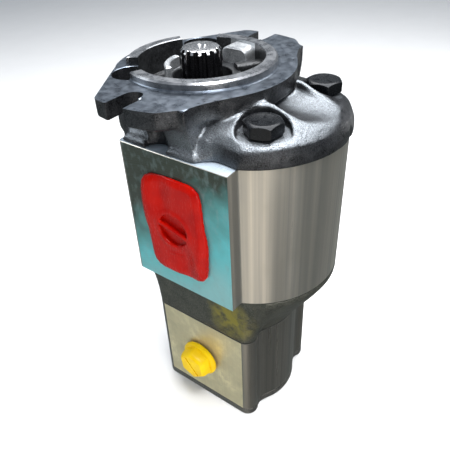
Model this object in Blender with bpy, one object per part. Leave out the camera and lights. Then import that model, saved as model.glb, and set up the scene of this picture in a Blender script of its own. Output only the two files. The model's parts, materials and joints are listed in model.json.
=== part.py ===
"""Tandem hydraulic gear pump, standing on its rear cover.

The drive shaft lies on the Z axis and points up. Z = 0 is the outer face of
the rear cover. The ears of the mounting flange lie along X, the ports open
along X, and the idler gears lie on the -Y side of the drive gears.
Lengths below are in millimetres and are turned into metres in the meshes.
"""
import math

import bmesh
import bpy
from mathutils import Matrix

MM = 0.001
GAP = 0.3

# How far a cutting tool runs on past the metal it cuts.
OVERRUN = 5.0

# Stack of the housing, measured along the shaft.
REAR_COVER_TOP = 7.0
REAR_BODY_TOP = 91.4
ADAPTOR_TOP = 147.0
FRONT_BODY_TOP = 253.4
FLANGE_BOTTOM = 274.0
FLANGE_FACE = 286.0
PILOT_TOP = 291.5
SHAFT_END = 297.6

# Mounting flange with a 101.6 mm pilot and two slotted ears.
PILOT_RADIUS = 50.8
PILOT_INNER_RADIUS = 42.8
EAR_RADIUS = 81.7
EAR_IDLER_CORNER = -19.5
EAR_DRIVE_CORNER = 12.2
FLANGE_IDLER_RADIUS = 63.6
FLANGE_DRIVE_RADIUS = 58.8
SLOT_HALF_WIDTH = 7.3
SLOT_CENTRE_X = 65.7
NECK_RADIUS = 55.0

# Inside of the pilot ring: hub, ribs, one wide boss and an oil guard round the shaft.
HUB_RADIUS = 26.0
HUB_TOP = 279.0
CAVITY_FLOOR = 270.0
RIB_ANGLES = (20.0, 160.0, 215.0, 325.0)
RIB_TOP = 282.5
RIB_WIDTH = 9.0
BOSS_FACE_X = 29.0
BOSS_LOW_Y = -16.0
BOSS_HIGH_Y = 5.0
BOSS_TOP = 289.5
GUARD_INNER_RADIUS = 21.2
GUARD_OUTER_RADIUS = 25.2
GUARD_START = 85.0
GUARD_END = 150.0
GUARD_TOP = 287.8

# Seat of the shaft seal and groove of the ring that holds the seal in.
SEAL_BORE_RADIUS = 20.3
SEAL_SEAT = 262.0
SEAL_HEIGHT = 7.4
RING_GROOVE_LOW = 270.4
RING_GROOVE_HIGH = 272.4
RING_GROOVE_DEPTH = 1.3

# Front pump body and its cover.
BODY_HALF_WIDTH = 66.5
PAD_LOW_Y = -67.7
PAD_HIGH_Y = 16.5
PAD_BACK_Y = 19.5
PAD_ANGLE = 26.0
COVER_ARC_RADIUS = 64.0
BODY_ARC_RADIUS = 62.0
IDLER_ARC_Y = -42.4
DRIVE_ARC_Y = -6.0
COVER_HALF_WIDTH = 56.0
COVER_SEAT = 268.5
BOLT_X = 36.7
BOLT_YS = (29.5, -72.6)
BOLT_RADIUS = 7.0
BOLT_HOLE_RADIUS = 7.4
BOLT_POCKET_RADIUS = 12.9
SCALLOP_RADIUS = 14.3
SCALLOP_Y = 31.0
BOLT_HEAD_FLATS = 21.0
BOLT_HEAD_HEIGHT = 8.8
BOLT_END = 134.0
FRONT_PORT_RADIUS = 15.0
FRONT_PORT_Z = 200.0
FRONT_PORT_DEPTH = 54.0
PORT_SCREW_RADIUS = 4.4
PORT_SCREW_SHIFT_Y = 13.0
PORT_SCREW_SHIFT_Z = 26.0
PORT_SCREW_DEPTH = 18.0
FRONT_SEAL_INNER = 30.2
FRONT_SEAL_OUTER = 33.2
SEAL_GROOVE_DEPTH = 2.0
FRONT_DOWEL_X = 40.0
FRONT_DOWEL_RADIUS = 4.0
DOWEL_CLEARANCE = 0.35

# Rear pump body and its cover.
REAR_HALF_WIDTH = 47.5
REAR_PAD_LOW_Y = -52.5
REAR_PAD_HIGH_Y = 16.5
REAR_ARC_RADIUS = 42.0
REAR_IDLER_ARC_Y = -33.0
REAR_DRIVE_ARC_Y = -3.0
LOBE_X = 38.5
LOBE_YS = (18.6, -58.5)
LOBE_RADIUS = 9.0
REAR_BOLT_RADIUS = 5.0
REAR_BOLT_HOLE_RADIUS = 5.35
REAR_BOLT_HEAD_RADIUS = 7.8
REAR_BOLT_HEAD_DEPTH = 3.9
REAR_BOLT_END = 110.0
REAR_PORT_RADIUS = 10.4
REAR_PORT_Z = 49.0
REAR_PORT_DEPTH = 38.0
YELLOW_COLLAR_RADIUS = 16.9
YELLOW_COLLAR_TOP = 6.0
YELLOW_HEAD_RADIUS = 14.4
YELLOW_HEAD_TOP = 15.2
YELLOW_SLOT_LENGTH = 20.4
REAR_SEAL_INNER = 23.0
REAR_SEAL_OUTER = 26.0
REAR_DOWEL_X = 32.0
REAR_DOWEL_RADIUS = 3.0

# Coupling chamber in the housing between the pumps.
CHAMBER_RADIUS = 17.4
CHAMBER_FLOOR = 97.4
NOSE_BORE_RADIUS = 10.0
COUPLING_LOW = 99.0
COUPLING_HIGH = 132.0
COUPLING_RADIUS = 16.6

# Gears: module, teeth and the clearances that let them run.
TEETH = 12
PRESSURE_ANGLE = math.radians(20.0)
BACKLASH = 0.4
FRONT_MODULE = 4.0
REAR_MODULE = 3.0
FRONT_JOURNAL_RADIUS = 14.0
REAR_JOURNAL_RADIUS = 9.0
FRONT_BLOCK_HEIGHT = 29.7
REAR_BLOCK_HEIGHT = 26.7
BUSH_WALL = 2.7
SPLINE_TEETH = 15
SPLINE_TIP_RADIUS = 13.65
SPLINE_ROOT_RADIUS = 11.9
SPLINE_LOW = 269.5
TAIL_TEETH = 10
TAIL_TIP_RADIUS = 8.6
TAIL_ROOT_RADIUS = 7.2
TAIL_LOW = 117.0
TAIL_HIGH = 135.0
NOSE_LOW = 96.0
NOSE_HIGH = 113.0
FRONT_TIP_RADIUS = 27.8
FRONT_ROOT_RADIUS = 19.0
REAR_TIP_RADIUS = 20.8
REAR_ROOT_RADIUS = 14.25

FRONT_CENTRE_DISTANCE = FRONT_MODULE * TEETH
REAR_CENTRE_DISTANCE = REAR_MODULE * TEETH
FRONT_BORE_RADIUS = 28.4
REAR_BORE_RADIUS = 21.4
FRONT_PORT_Y = -FRONT_CENTRE_DISTANCE / 2
REAR_PORT_Y = -REAR_CENTRE_DISTANCE / 2

SMOOTH_ANGLE = math.radians(32.0)


def clear_scene():
    for item in list(bpy.data.objects):
        bpy.data.objects.remove(item)


def material(name, colour, metallic, roughness):
    """A Principled material, made once for each name."""
    found = bpy.data.materials.get(name)
    if found:
        return found
    made = bpy.data.materials.new(name)
    made.use_nodes = True
    shader = made.node_tree.nodes["Principled BSDF"]
    shader.inputs["Base Color"].default_value = (*colour, 1.0)
    shader.inputs["Metallic"].default_value = metallic
    shader.inputs["Roughness"].default_value = roughness
    made.diffuse_color = (*colour, 1.0)
    return made


def cast_black():
    return material("cast_black", (0.05, 0.05, 0.055), 0.6, 0.45)


def cast_grey():
    return material("cast_grey", (0.16, 0.16, 0.13), 0.5, 0.5)


def machined_aluminium():
    return material("machined_aluminium", (0.62, 0.6, 0.56), 0.9, 0.35)


def gear_steel():
    return material("gear_steel", (0.5, 0.5, 0.5), 1.0, 0.25)


def black_steel():
    return material("black_steel", (0.02, 0.02, 0.025), 0.7, 0.35)


def bronze():
    return material("bearing_bronze", (0.55, 0.4, 0.2), 0.9, 0.35)


def seal_rubber():
    return material("seal_rubber", (0.02, 0.02, 0.02), 0.0, 0.6)


def red_plastic():
    return material("red_plastic", (0.8, 0.05, 0.02), 0.0, 0.3)


def yellow_plastic():
    return material("yellow_plastic", (0.95, 0.75, 0.03), 0.0, 0.35)


def arc(centre_x, centre_y, radius, start, end, steps):
    """Points from start to end, in degrees, both ends included."""
    points = []
    for index in range(steps + 1):
        angle = math.radians(start + (end - start) * index / steps)
        points.append((centre_x + radius * math.cos(angle),
                       centre_y + radius * math.sin(angle)))
    return points


def circle(centre_x, centre_y, radius, segments):
    return arc(centre_x, centre_y, radius, 0.0, 360.0, segments)[:-1]


def mirrored_x(points):
    """The same points on the other side of the YZ plane, in reverse order."""
    return [(-x, y) for x, y in reversed(points)]


def finish_mesh(name, mesh_data, finish):
    bmesh.ops.recalc_face_normals(mesh_data, faces=mesh_data.faces)
    mesh = bpy.data.meshes.new(name)
    mesh_data.to_mesh(mesh)
    mesh_data.free()
    made = bpy.data.objects.new(name, mesh)
    bpy.context.scene.collection.objects.link(made)
    if finish:
        mesh.materials.append(finish)
    return made


def prism(name, outline, low, high, finish=None):
    """A straight solid over a closed outline in the XY plane."""
    mesh_data = bmesh.new()
    bottom = [mesh_data.verts.new((x * MM, y * MM, low * MM)) for x, y in outline]
    top = [mesh_data.verts.new((x * MM, y * MM, high * MM)) for x, y in outline]
    count = len(outline)
    for index in range(count):
        after = (index + 1) % count
        mesh_data.faces.new((bottom[index], bottom[after], top[after], top[index]))
    mesh_data.faces.new(bottom[::-1])
    mesh_data.faces.new(top)
    return finish_mesh(name, mesh_data, finish)


def loft(name, sections, finish=None):
    """A solid through outlines of equal point count, as (height, outline) pairs."""
    mesh_data = bmesh.new()
    rings = []
    for height, outline in sections:
        ring = [mesh_data.verts.new((x * MM, y * MM, height * MM)) for x, y in outline]
        rings.append(ring)
    for lower, upper in zip(rings, rings[1:]):
        count = len(lower)
        for index in range(count):
            after = (index + 1) % count
            mesh_data.faces.new((lower[index], lower[after], upper[after], upper[index]))
    mesh_data.faces.new(rings[0][::-1])
    mesh_data.faces.new(rings[-1])
    return finish_mesh(name, mesh_data, finish)


def turned(name, profile, segments, finish=None, centre=(0.0, 0.0)):
    """A solid turned about a vertical axis, from (radius, height) pairs.

    A profile whose ends have radius zero is a full shaft. Any other profile
    is a closed loop and makes a ring.
    """
    mesh_data = bmesh.new()
    rings = []
    for radius, height in profile:
        if radius == 0.0:
            rings.append([mesh_data.verts.new((centre[0] * MM, centre[1] * MM, height * MM))])
            continue
        ring = []
        for x, y in circle(centre[0], centre[1], radius, segments):
            ring.append(mesh_data.verts.new((x * MM, y * MM, height * MM)))
        rings.append(ring)
    pairs = list(zip(rings, rings[1:]))
    if profile[0][0] > 0.0:
        pairs.append((rings[-1], rings[0]))
    for lower, upper in pairs:
        for index in range(segments):
            after = (index + 1) % segments
            if len(lower) == 1:
                mesh_data.faces.new((lower[0], upper[after], upper[index]))
            elif len(upper) == 1:
                mesh_data.faces.new((lower[index], lower[after], upper[0]))
            else:
                mesh_data.faces.new((lower[index], lower[after], upper[after], upper[index]))
    return finish_mesh(name, mesh_data, finish)


def cylinder(name, centre, radius, low, high, segments, finish=None):
    return prism(name, circle(centre[0], centre[1], radius, segments), low, high, finish)


def lay_along_x(item, side, centre_y, centre_z, face_x):
    """Turn a solid made along Z so that its top points out of the side's port face."""
    turn = Matrix.Rotation(side * math.pi / 2, 4, "Y")
    shift = Matrix.Translation((side * face_x * MM, centre_y * MM, centre_z * MM))
    item.data.transform(shift @ turn)
    return item


def combine(target, tool, operation):
    """Run an exact Boolean at once, and drop the tool."""
    modifier = target.modifiers.new("boolean", "BOOLEAN")
    modifier.operation = operation
    modifier.solver = "EXACT"
    modifier.object = tool
    bpy.context.view_layer.update()
    depsgraph = bpy.context.evaluated_depsgraph_get()
    result = bpy.data.meshes.new_from_object(target.evaluated_get(depsgraph))
    target.modifiers.clear()
    target.data = result
    bpy.data.objects.remove(tool)
    return target


def cut(target, tool):
    return combine(target, tool, "DIFFERENCE")


def join(target, tool):
    return combine(target, tool, "UNION")


def cut_holes(target, centres, radius, low, high, segments=12):
    for centre in centres:
        cut(target, cylinder("cutter", centre, radius, low, high, segments))


def smooth(item):
    """Round stretches shade smooth and true edges stay sharp."""
    item.data.shade_smooth()
    item.data.set_sharp_from_angle(angle=SMOOTH_ANGLE)
    return item


def front_bolt_centres():
    return [(side * BOLT_X, y) for y in BOLT_YS for side in (1, -1)]


def rear_bolt_centres():
    return [(side * LOBE_X, y) for y in LOBE_YS for side in (1, -1)]


def dowel_centres(offset_x, y):
    return [(offset_x, y), (-offset_x, y)]


def front_body_outline():
    """Port pads left and right, with a round end about each gear."""
    step = 4.0
    right = []
    right += arc(0.0, IDLER_ARC_Y, BODY_ARC_RADIUS, -90.0, -PAD_ANGLE - 1.0, 16)[1:]
    right += [(BODY_HALF_WIDTH - step - 1.5, PAD_LOW_Y - 0.9), (BODY_HALF_WIDTH - step, PAD_LOW_Y)]
    right += [(BODY_HALF_WIDTH, PAD_LOW_Y), (BODY_HALF_WIDTH, PAD_HIGH_Y)]
    right += [(BODY_HALF_WIDTH - 0.8, PAD_BACK_Y - 1.1), (BODY_HALF_WIDTH - step, PAD_BACK_Y)]
    right += arc(0.0, DRIVE_ARC_Y, BODY_ARC_RADIUS, PAD_ANGLE, 90.0, 14)[:-1]
    lowest = (0.0, IDLER_ARC_Y - BODY_ARC_RADIUS)
    highest = (0.0, DRIVE_ARC_Y + BODY_ARC_RADIUS)
    return [lowest] + right + [highest] + mirrored_x(right)


def rear_body_outline():
    """Flat port faces, a lobe about each corner screw and a round end about each gear."""
    low_lobe = arc(LOBE_X, LOBE_YS[1], LOBE_RADIUS, -112.0, -6.0, 7)
    high_lobe = arc(LOBE_X, LOBE_YS[0], LOBE_RADIUS, 6.0, 112.0, 7)
    right = []
    right += arc(0.0, REAR_IDLER_ARC_Y, REAR_ARC_RADIUS, -90.0, -57.0, 6)[1:]
    right += [(29.0, -66.2)]
    right += low_lobe
    right += [(REAR_HALF_WIDTH, REAR_PAD_LOW_Y), (REAR_HALF_WIDTH, REAR_PAD_HIGH_Y)]
    right += high_lobe
    right += [(29.0, 30.2)]
    right += arc(0.0, REAR_DRIVE_ARC_Y, REAR_ARC_RADIUS, 57.0, 90.0, 6)[:-1]
    lowest = (0.0, REAR_IDLER_ARC_Y - REAR_ARC_RADIUS)
    highest = (0.0, REAR_DRIVE_ARC_Y + REAR_ARC_RADIUS)
    return [lowest] + right + [highest] + mirrored_x(right)


def adaptor_top_outline():
    """The front body's round ends, held in to the width of the rear body.

    Its points match those of rear_body_outline one to one, for the loft.
    """
    edge_angle = math.degrees(math.acos(REAR_HALF_WIDTH / BODY_ARC_RADIUS))
    idler_end = arc(0.0, IDLER_ARC_Y, BODY_ARC_RADIUS, -90.0, -edge_angle, 15)
    drive_end = arc(0.0, DRIVE_ARC_Y, BODY_ARC_RADIUS, edge_angle, 90.0, 15)
    right = idler_end[1:]
    right += [(REAR_HALF_WIDTH, REAR_PAD_LOW_Y), (REAR_HALF_WIDTH, REAR_PAD_HIGH_Y)]
    right += drive_end[:-1]
    return [idler_end[0]] + right + [drive_end[-1]] + mirrored_x(right)


def flange_outline():
    """Two ears on the X axis, straight sides towards them and open bolt slots."""
    half_slot = math.degrees(math.asin(SLOT_HALF_WIDTH / EAR_RADIUS))
    slot = arc(SLOT_CENTRE_X, 0.0, SLOT_HALF_WIDTH, 270.0, 90.0, 10)
    right = []
    right += arc(0.0, 0.0, FLANGE_IDLER_RADIUS, -90.0, -60.0, 6)[1:]
    right += [(45.0, -47.0), (56.0, -41.6), (68.0, -35.0)]
    right += arc(0.0, 0.0, EAR_RADIUS, EAR_IDLER_CORNER, -half_slot, 3)
    right += slot
    right += arc(0.0, 0.0, EAR_RADIUS, half_slot, EAR_DRIVE_CORNER, 2)
    right += [(78.9, 18.6), (46.0, 39.8)]
    right += arc(0.0, 0.0, FLANGE_DRIVE_RADIUS, 57.0, 90.0, 4)[:-1]
    return [(0.0, -FLANGE_IDLER_RADIUS)] + right + [(0.0, FLANGE_DRIVE_RADIUS)] + mirrored_x(right)


def cover_outline():
    """Round ends a little proud of the body, narrower than the port pads."""
    edge_angle = math.degrees(math.acos(COVER_HALF_WIDTH / COVER_ARC_RADIUS))
    right = arc(0.0, IDLER_ARC_Y, COVER_ARC_RADIUS, -90.0, -edge_angle, 12)[1:]
    right += arc(0.0, DRIVE_ARC_Y, COVER_ARC_RADIUS, edge_angle, 90.0, 12)[:-1]
    lowest = (0.0, IDLER_ARC_Y - COVER_ARC_RADIUS)
    highest = (0.0, DRIVE_ARC_Y + COVER_ARC_RADIUS)
    return [lowest] + right + [highest] + mirrored_x(right)


def stadium(centre_distance, radius, steps):
    """A racetrack round two circles, one at the origin and one below it on Y."""
    top = arc(0.0, 0.0, radius, 0.0, 180.0, steps)
    bottom = arc(0.0, -centre_distance, radius, 180.0, 360.0, steps)
    return top + bottom


def twin_circle(centre_distance, radius, steps):
    """The outline of two crossing circles: the shape of a gear chamber."""
    waist = math.degrees(math.asin(centre_distance / 2 / radius))
    top = arc(0.0, 0.0, radius, -waist, 180.0 + waist, steps)
    bottom = arc(0.0, -centre_distance, radius, 180.0 - waist, 360.0 + waist, steps)
    return top[:-1] + bottom[:-1]


def balance_outline(centre_distance, radius, half_width, end_angle, steps=6):
    """A strip shaped like the figure three, round the outlet side of both shafts."""
    outer = radius + half_width
    inner = radius - half_width
    waist_outer = math.degrees(math.asin(centre_distance / 2 / outer))
    waist_inner = 84.0
    points = arc(0.0, 0.0, outer, end_angle, -waist_outer, steps)
    points += arc(0.0, -centre_distance, outer, waist_outer, -end_angle, steps)[1:]
    points += arc(0.0, -centre_distance, inner, -end_angle, waist_inner, steps)
    points += arc(0.0, 0.0, inner, -waist_inner, end_angle, steps)
    return points[::-1]


def gear_outline(module, tip_radius, root_radius, turn):
    """Involute teeth; turn is the angle of the first tooth's centre, in radians."""
    pitch_radius = module * TEETH / 2
    base_radius = pitch_radius * math.cos(PRESSURE_ANGLE)
    pitch_half = math.pi / (2 * TEETH) - BACKLASH / 2 / pitch_radius / 2

    def half_angle(radius):
        if radius < base_radius:
            radius = base_radius
        angle = math.acos(base_radius / radius)
        rise = math.tan(PRESSURE_ANGLE) - PRESSURE_ANGLE
        return pitch_half + rise - (math.tan(angle) - angle)

    middle = (base_radius + tip_radius) / 2
    radii = [root_radius, base_radius, middle, tip_radius]
    points = []
    for tooth in range(TEETH):
        centre = turn + tooth * 2 * math.pi / TEETH
        for radius in radii:
            angle = centre - half_angle(radius)
            points.append((radius * math.cos(angle), radius * math.sin(angle)))
        for radius in reversed(radii):
            angle = centre + half_angle(radius)
            points.append((radius * math.cos(angle), radius * math.sin(angle)))
    return points


def spline_outline(teeth, tip_radius, root_radius):
    """Straight-sided spline teeth, a little narrower at the tip than at the root."""
    pitch = 2 * math.pi / teeth
    shape = ((root_radius, -0.31), (tip_radius, -0.16), (tip_radius, 0.16), (root_radius, 0.31))
    points = []
    for tooth in range(teeth):
        for radius, share in shape:
            angle = (tooth + share) * pitch
            points.append((radius * math.cos(angle), radius * math.sin(angle)))
    return points


def moved(points, shift_x, shift_y):
    return [(x + shift_x, y + shift_y) for x, y in points]


def make_pilot_details(cover):
    """Ribs, the wide boss and the oil guard inside the pilot ring."""
    start = HUB_RADIUS - 2.0
    end = PILOT_INNER_RADIUS + 2.0
    half = RIB_WIDTH / 2
    for angle in RIB_ANGLES:
        rib = prism("rib", [(start, -half), (end, -half), (end, half), (start, half)],
                    CAVITY_FLOOR - 2.0, RIB_TOP)
        rib.data.transform(Matrix.Rotation(math.radians(angle), 4, "Z"))
        join(cover, rib)
    for face_x, top in ((HUB_RADIUS - 2.0, HUB_TOP - 0.5), (BOSS_FACE_X, BOSS_TOP)):
        outline = [(face_x, BOSS_LOW_Y), (end - 4.0, BOSS_LOW_Y), (end, 0.0),
                   (end - 2.0, BOSS_HIGH_Y), (face_x, BOSS_HIGH_Y)]
        join(cover, prism("boss", outline, CAVITY_FLOOR - 2.0, top))
    guard = arc(0.0, 0.0, GUARD_OUTER_RADIUS, GUARD_START, GUARD_END, 8)
    guard += arc(0.0, 0.0, GUARD_INNER_RADIUS, GUARD_END, GUARD_START, 8)
    join(cover, prism("guard", guard, HUB_TOP - 2.0, GUARD_TOP))


def make_front_cover():
    """Cover and mounting flange in one casting, with the pilot ring on top."""
    below = FRONT_BODY_TOP - OVERRUN
    above = PILOT_TOP + OVERRUN
    cover = prism("front_cover", cover_outline(), FRONT_BODY_TOP, COVER_SEAT, cast_black())
    join(cover, cylinder("neck", (0.0, 0.0), NECK_RADIUS, COVER_SEAT - 6.0, FLANGE_BOTTOM + 3.0, 48))
    join(cover, prism("flange", flange_outline(), FLANGE_BOTTOM, FLANGE_FACE))
    join(cover, cylinder("pilot", (0.0, 0.0), PILOT_RADIUS, FLANGE_FACE - 4.0, PILOT_TOP, 64))
    cut(cover, turned("cavity", [(HUB_RADIUS, CAVITY_FLOOR), (PILOT_INNER_RADIUS, CAVITY_FLOOR),
                                 (PILOT_INNER_RADIUS, above), (HUB_RADIUS, above)], 40))
    cut(cover, cylinder("hub_space", (0.0, 0.0), HUB_RADIUS + 1.0, HUB_TOP, above + 1.0, 40))
    make_pilot_details(cover)
    cut(cover, cylinder("seal_bore", (0.0, 0.0), SEAL_BORE_RADIUS, SEAL_SEAT, above + 2.0, 32))
    cut(cover, cylinder("ring_groove", (0.0, 0.0), SEAL_BORE_RADIUS + RING_GROOVE_DEPTH,
                        RING_GROOVE_LOW, RING_GROOVE_HIGH, 32))
    cut(cover, cylinder("shaft_bore", (0.0, 0.0), FRONT_JOURNAL_RADIUS + 0.5, below,
                        SEAL_SEAT + 3.0, 24))
    cut_holes(cover, front_bolt_centres(), BOLT_HOLE_RADIUS, below, COVER_SEAT + OVERRUN)
    cut_holes(cover, front_bolt_centres(), BOLT_POCKET_RADIUS, COVER_SEAT, above, 24)
    scallops = [(BOLT_X, SCALLOP_Y), (-BOLT_X, SCALLOP_Y)]
    cut_holes(cover, scallops, SCALLOP_RADIUS, FLANGE_FACE, above, 24)
    cut_holes(cover, dowel_centres(FRONT_DOWEL_X, FRONT_PORT_Y),
              FRONT_DOWEL_RADIUS + DOWEL_CLEARANCE, below, FRONT_BODY_TOP + 8.6, 8)
    return smooth(cover)


def make_shaft_seal():
    inner = FRONT_JOURNAL_RADIUS + GAP
    outer = SEAL_BORE_RADIUS - GAP
    low = SEAL_SEAT + 0.4
    high = low + SEAL_HEIGHT
    profile = [(inner + 1.5, low), (outer, low), (outer, high), (inner + 1.5, high),
               (inner + 0.2, high - 2.8)]
    return smooth(turned("shaft_seal", profile, 20, seal_rubber()))


def make_retaining_ring():
    """Spring ring with an open gap, in the groove above the seal."""
    outer = SEAL_BORE_RADIUS + 0.9
    inner = SEAL_BORE_RADIUS - 2.4
    outline = arc(0.0, 0.0, outer, 12.0, 348.0, 28)
    outline += arc(0.0, 0.0, inner, 348.0, 12.0, 28)
    return smooth(prism("seal_retaining_ring", outline, RING_GROOVE_LOW + GAP,
                        RING_GROOVE_HIGH - GAP, gear_steel()))


def cut_gear_chamber(body, centre_distance, radius, low, high, segments):
    for centre_y in (0.0, -centre_distance):
        cut(body, cylinder("cutter", (0.0, centre_y), radius, low, high, segments))


def seal_ring_cutter(centre_distance, inner, outer, low, high):
    """A racetrack ring, used for grooves and for the seals in them."""
    ring = prism("ring", stadium(centre_distance, outer, 9), low, high)
    core = prism("core", stadium(centre_distance, inner, 9), low - 2.0, high + 2.0)
    return cut(ring, core)


def cut_port(body, side, radius, centre_y, centre_z, face_x, depth, segments):
    tool = cylinder("cutter", (0.0, 0.0), radius, -depth, 2.0, segments)
    cut(body, lay_along_x(tool, side, centre_y, centre_z, face_x))


def cut_seal_groove(body, centre_distance, inner, outer, low, high):
    """A racetrack groove in each end face, round the gear chamber."""
    cut(body, seal_ring_cutter(centre_distance, inner, outer, high - SEAL_GROOVE_DEPTH, high + 3.0))
    cut(body, seal_ring_cutter(centre_distance, inner, outer, low - 3.0, low + SEAL_GROOVE_DEPTH))


def make_front_pump_body():
    low = ADAPTOR_TOP
    high = FRONT_BODY_TOP - GAP
    under = low - OVERRUN
    over = high + OVERRUN
    body = prism("front_pump_body", front_body_outline(), low, high, machined_aluminium())
    cut_gear_chamber(body, FRONT_CENTRE_DISTANCE, FRONT_BORE_RADIUS, under, over, 32)
    cut_holes(body, front_bolt_centres(), BOLT_HOLE_RADIUS, under, over)
    for side in (1, -1):
        cut_port(body, side, FRONT_PORT_RADIUS, FRONT_PORT_Y, FRONT_PORT_Z, BODY_HALF_WIDTH,
                 FRONT_PORT_DEPTH, 28)
        for shift_y in (-PORT_SCREW_SHIFT_Y, PORT_SCREW_SHIFT_Y):
            for shift_z in (-PORT_SCREW_SHIFT_Z, PORT_SCREW_SHIFT_Z):
                cut_port(body, side, PORT_SCREW_RADIUS, FRONT_PORT_Y + shift_y,
                         FRONT_PORT_Z + shift_z, BODY_HALF_WIDTH, PORT_SCREW_DEPTH, 8)
    cut_seal_groove(body, FRONT_CENTRE_DISTANCE, FRONT_SEAL_INNER, FRONT_SEAL_OUTER, low, high)
    dowels = dowel_centres(FRONT_DOWEL_X, FRONT_PORT_Y)
    hole = FRONT_DOWEL_RADIUS + DOWEL_CLEARANCE
    cut_holes(body, dowels, hole, high - 9.0, over, 8)
    cut_holes(body, dowels, hole, under, low + 9.0, 8)
    return smooth(body)


def make_body_seal(name, centre_distance, inner, outer, low, high):
    seal = seal_ring_cutter(centre_distance, inner, outer, low, high)
    seal.name = name
    seal.data.materials.clear()
    seal.data.materials.append(seal_rubber())
    return smooth(seal)


def make_bearing_block(name, centre_distance, radius, bore_radius, low, high, seal_face):
    """A figure-eight block that carries both shafts, with a balance-seal groove."""
    block = prism(name, twin_circle(centre_distance, radius, 18), low, high, machined_aluminium())
    for centre_y in (0.0, -centre_distance):
        cut(block, cylinder("cutter", (0.0, centre_y), bore_radius, low - 2.0, high + 2.0, 16))
    groove = balance_outline(centre_distance, (radius + bore_radius) / 2 + 0.9, 1.6, 66.0)
    if seal_face == "top":
        cut(block, prism("cutter", groove, high - 2.0, high + 2.0))
    else:
        cut(block, prism("cutter", groove, low - 2.0, low + 2.0))
    return smooth(block)


def make_balance_seal(name, centre_distance, radius, bore_radius, low, high):
    strip = balance_outline(centre_distance, (radius + bore_radius) / 2 + 0.9, 1.25, 64.5)
    return smooth(prism(name, strip, low, high, seal_rubber()))


def make_bush(name, centre_y, journal_radius, low, high):
    inner = journal_radius + GAP
    outer = journal_radius + GAP + BUSH_WALL
    profile = [(inner, low), (outer, low), (outer, high), (inner, high)]
    return smooth(turned(name, profile, 16, bronze(), (0.0, centre_y)))


def make_drive_shaft():
    """Front driving gear, its journals, the splined end and the tail for the rear pump."""
    journal = FRONT_JOURNAL_RADIUS
    gear_low = ADAPTOR_TOP + FRONT_BLOCK_HEIGHT + 0.5
    gear_high = FRONT_BODY_TOP - GAP - FRONT_BLOCK_HEIGHT - 0.5
    teeth = gear_outline(FRONT_MODULE, FRONT_TIP_RADIUS, FRONT_ROOT_RADIUS, -math.pi / 2)
    gear = prism("drive_shaft_gear", teeth, gear_low, gear_high, gear_steel())
    tail_core = TAIL_ROOT_RADIUS - 0.4
    spline_core = SPLINE_ROOT_RADIUS - 0.3
    neck = 11.6
    shaft = [(0.0, TAIL_LOW + 1.0), (tail_core, TAIL_LOW + 1.0), (tail_core, TAIL_HIGH - 1.0),
             (neck, TAIL_HIGH - 1.0), (neck, ADAPTOR_TOP + 2.0), (journal, ADAPTOR_TOP + 3.0),
             (journal, SPLINE_LOW + 0.5), (spline_core, SPLINE_LOW + 1.5),
             (spline_core, SHAFT_END - 0.5), (0.0, SHAFT_END - 0.5)]
    join(gear, turned("shaft", shaft, 16))
    spline = spline_outline(SPLINE_TEETH, SPLINE_TIP_RADIUS, SPLINE_ROOT_RADIUS)
    tip = spline_outline(SPLINE_TEETH, SPLINE_TIP_RADIUS - 0.8, SPLINE_ROOT_RADIUS - 0.1)
    join(gear, loft("spline", [(SPLINE_LOW, spline), (SHAFT_END - 0.8, spline), (SHAFT_END, tip)]))
    tail = spline_outline(TAIL_TEETH, TAIL_TIP_RADIUS, TAIL_ROOT_RADIUS)
    join(gear, prism("tail", tail, TAIL_LOW, TAIL_HIGH))
    centre_hole = [(0.0, SHAFT_END - 6.0), (2.2, SHAFT_END - 3.5), (4.4, SHAFT_END + 0.5),
                   (0.0, SHAFT_END + 0.5)]
    cut(gear, turned("centre_hole", centre_hole, 16))
    return smooth(gear)


def make_idler(name, module, tip_radius, root_radius, journal, lows_and_highs, centre_distance):
    """A driven gear with plain journals, in mesh with the gear on the Z axis."""
    shaft_low, gear_low, gear_high, shaft_high = lows_and_highs
    gap_turn = math.pi / 2 + math.pi / TEETH
    outline = moved(gear_outline(module, tip_radius, root_radius, gap_turn), 0.0, -centre_distance)
    gear = prism(name, outline, gear_low, gear_high, gear_steel())
    profile = [(0.0, shaft_low), (journal - 1.0, shaft_low), (journal, shaft_low + 1.0),
               (journal, shaft_high - 1.0), (journal - 1.0, shaft_high), (0.0, shaft_high)]
    join(gear, turned("shaft", profile, 16, None, (0.0, -centre_distance)))
    return smooth(gear)


def make_front_idler():
    gear_low = ADAPTOR_TOP + FRONT_BLOCK_HEIGHT + 0.5
    gear_high = FRONT_BODY_TOP - GAP - FRONT_BLOCK_HEIGHT - 0.5
    levels = (ADAPTOR_TOP + 0.4, gear_low, gear_high, FRONT_BODY_TOP - 0.7)
    return make_idler("front_idler_gear", FRONT_MODULE, FRONT_TIP_RADIUS, FRONT_ROOT_RADIUS,
                      FRONT_JOURNAL_RADIUS, levels, FRONT_CENTRE_DISTANCE)


def rear_gear_levels():
    low = REAR_COVER_TOP + REAR_BLOCK_HEIGHT + 0.4
    high = REAR_BODY_TOP - GAP - REAR_BLOCK_HEIGHT - 0.4
    return low, high


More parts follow.
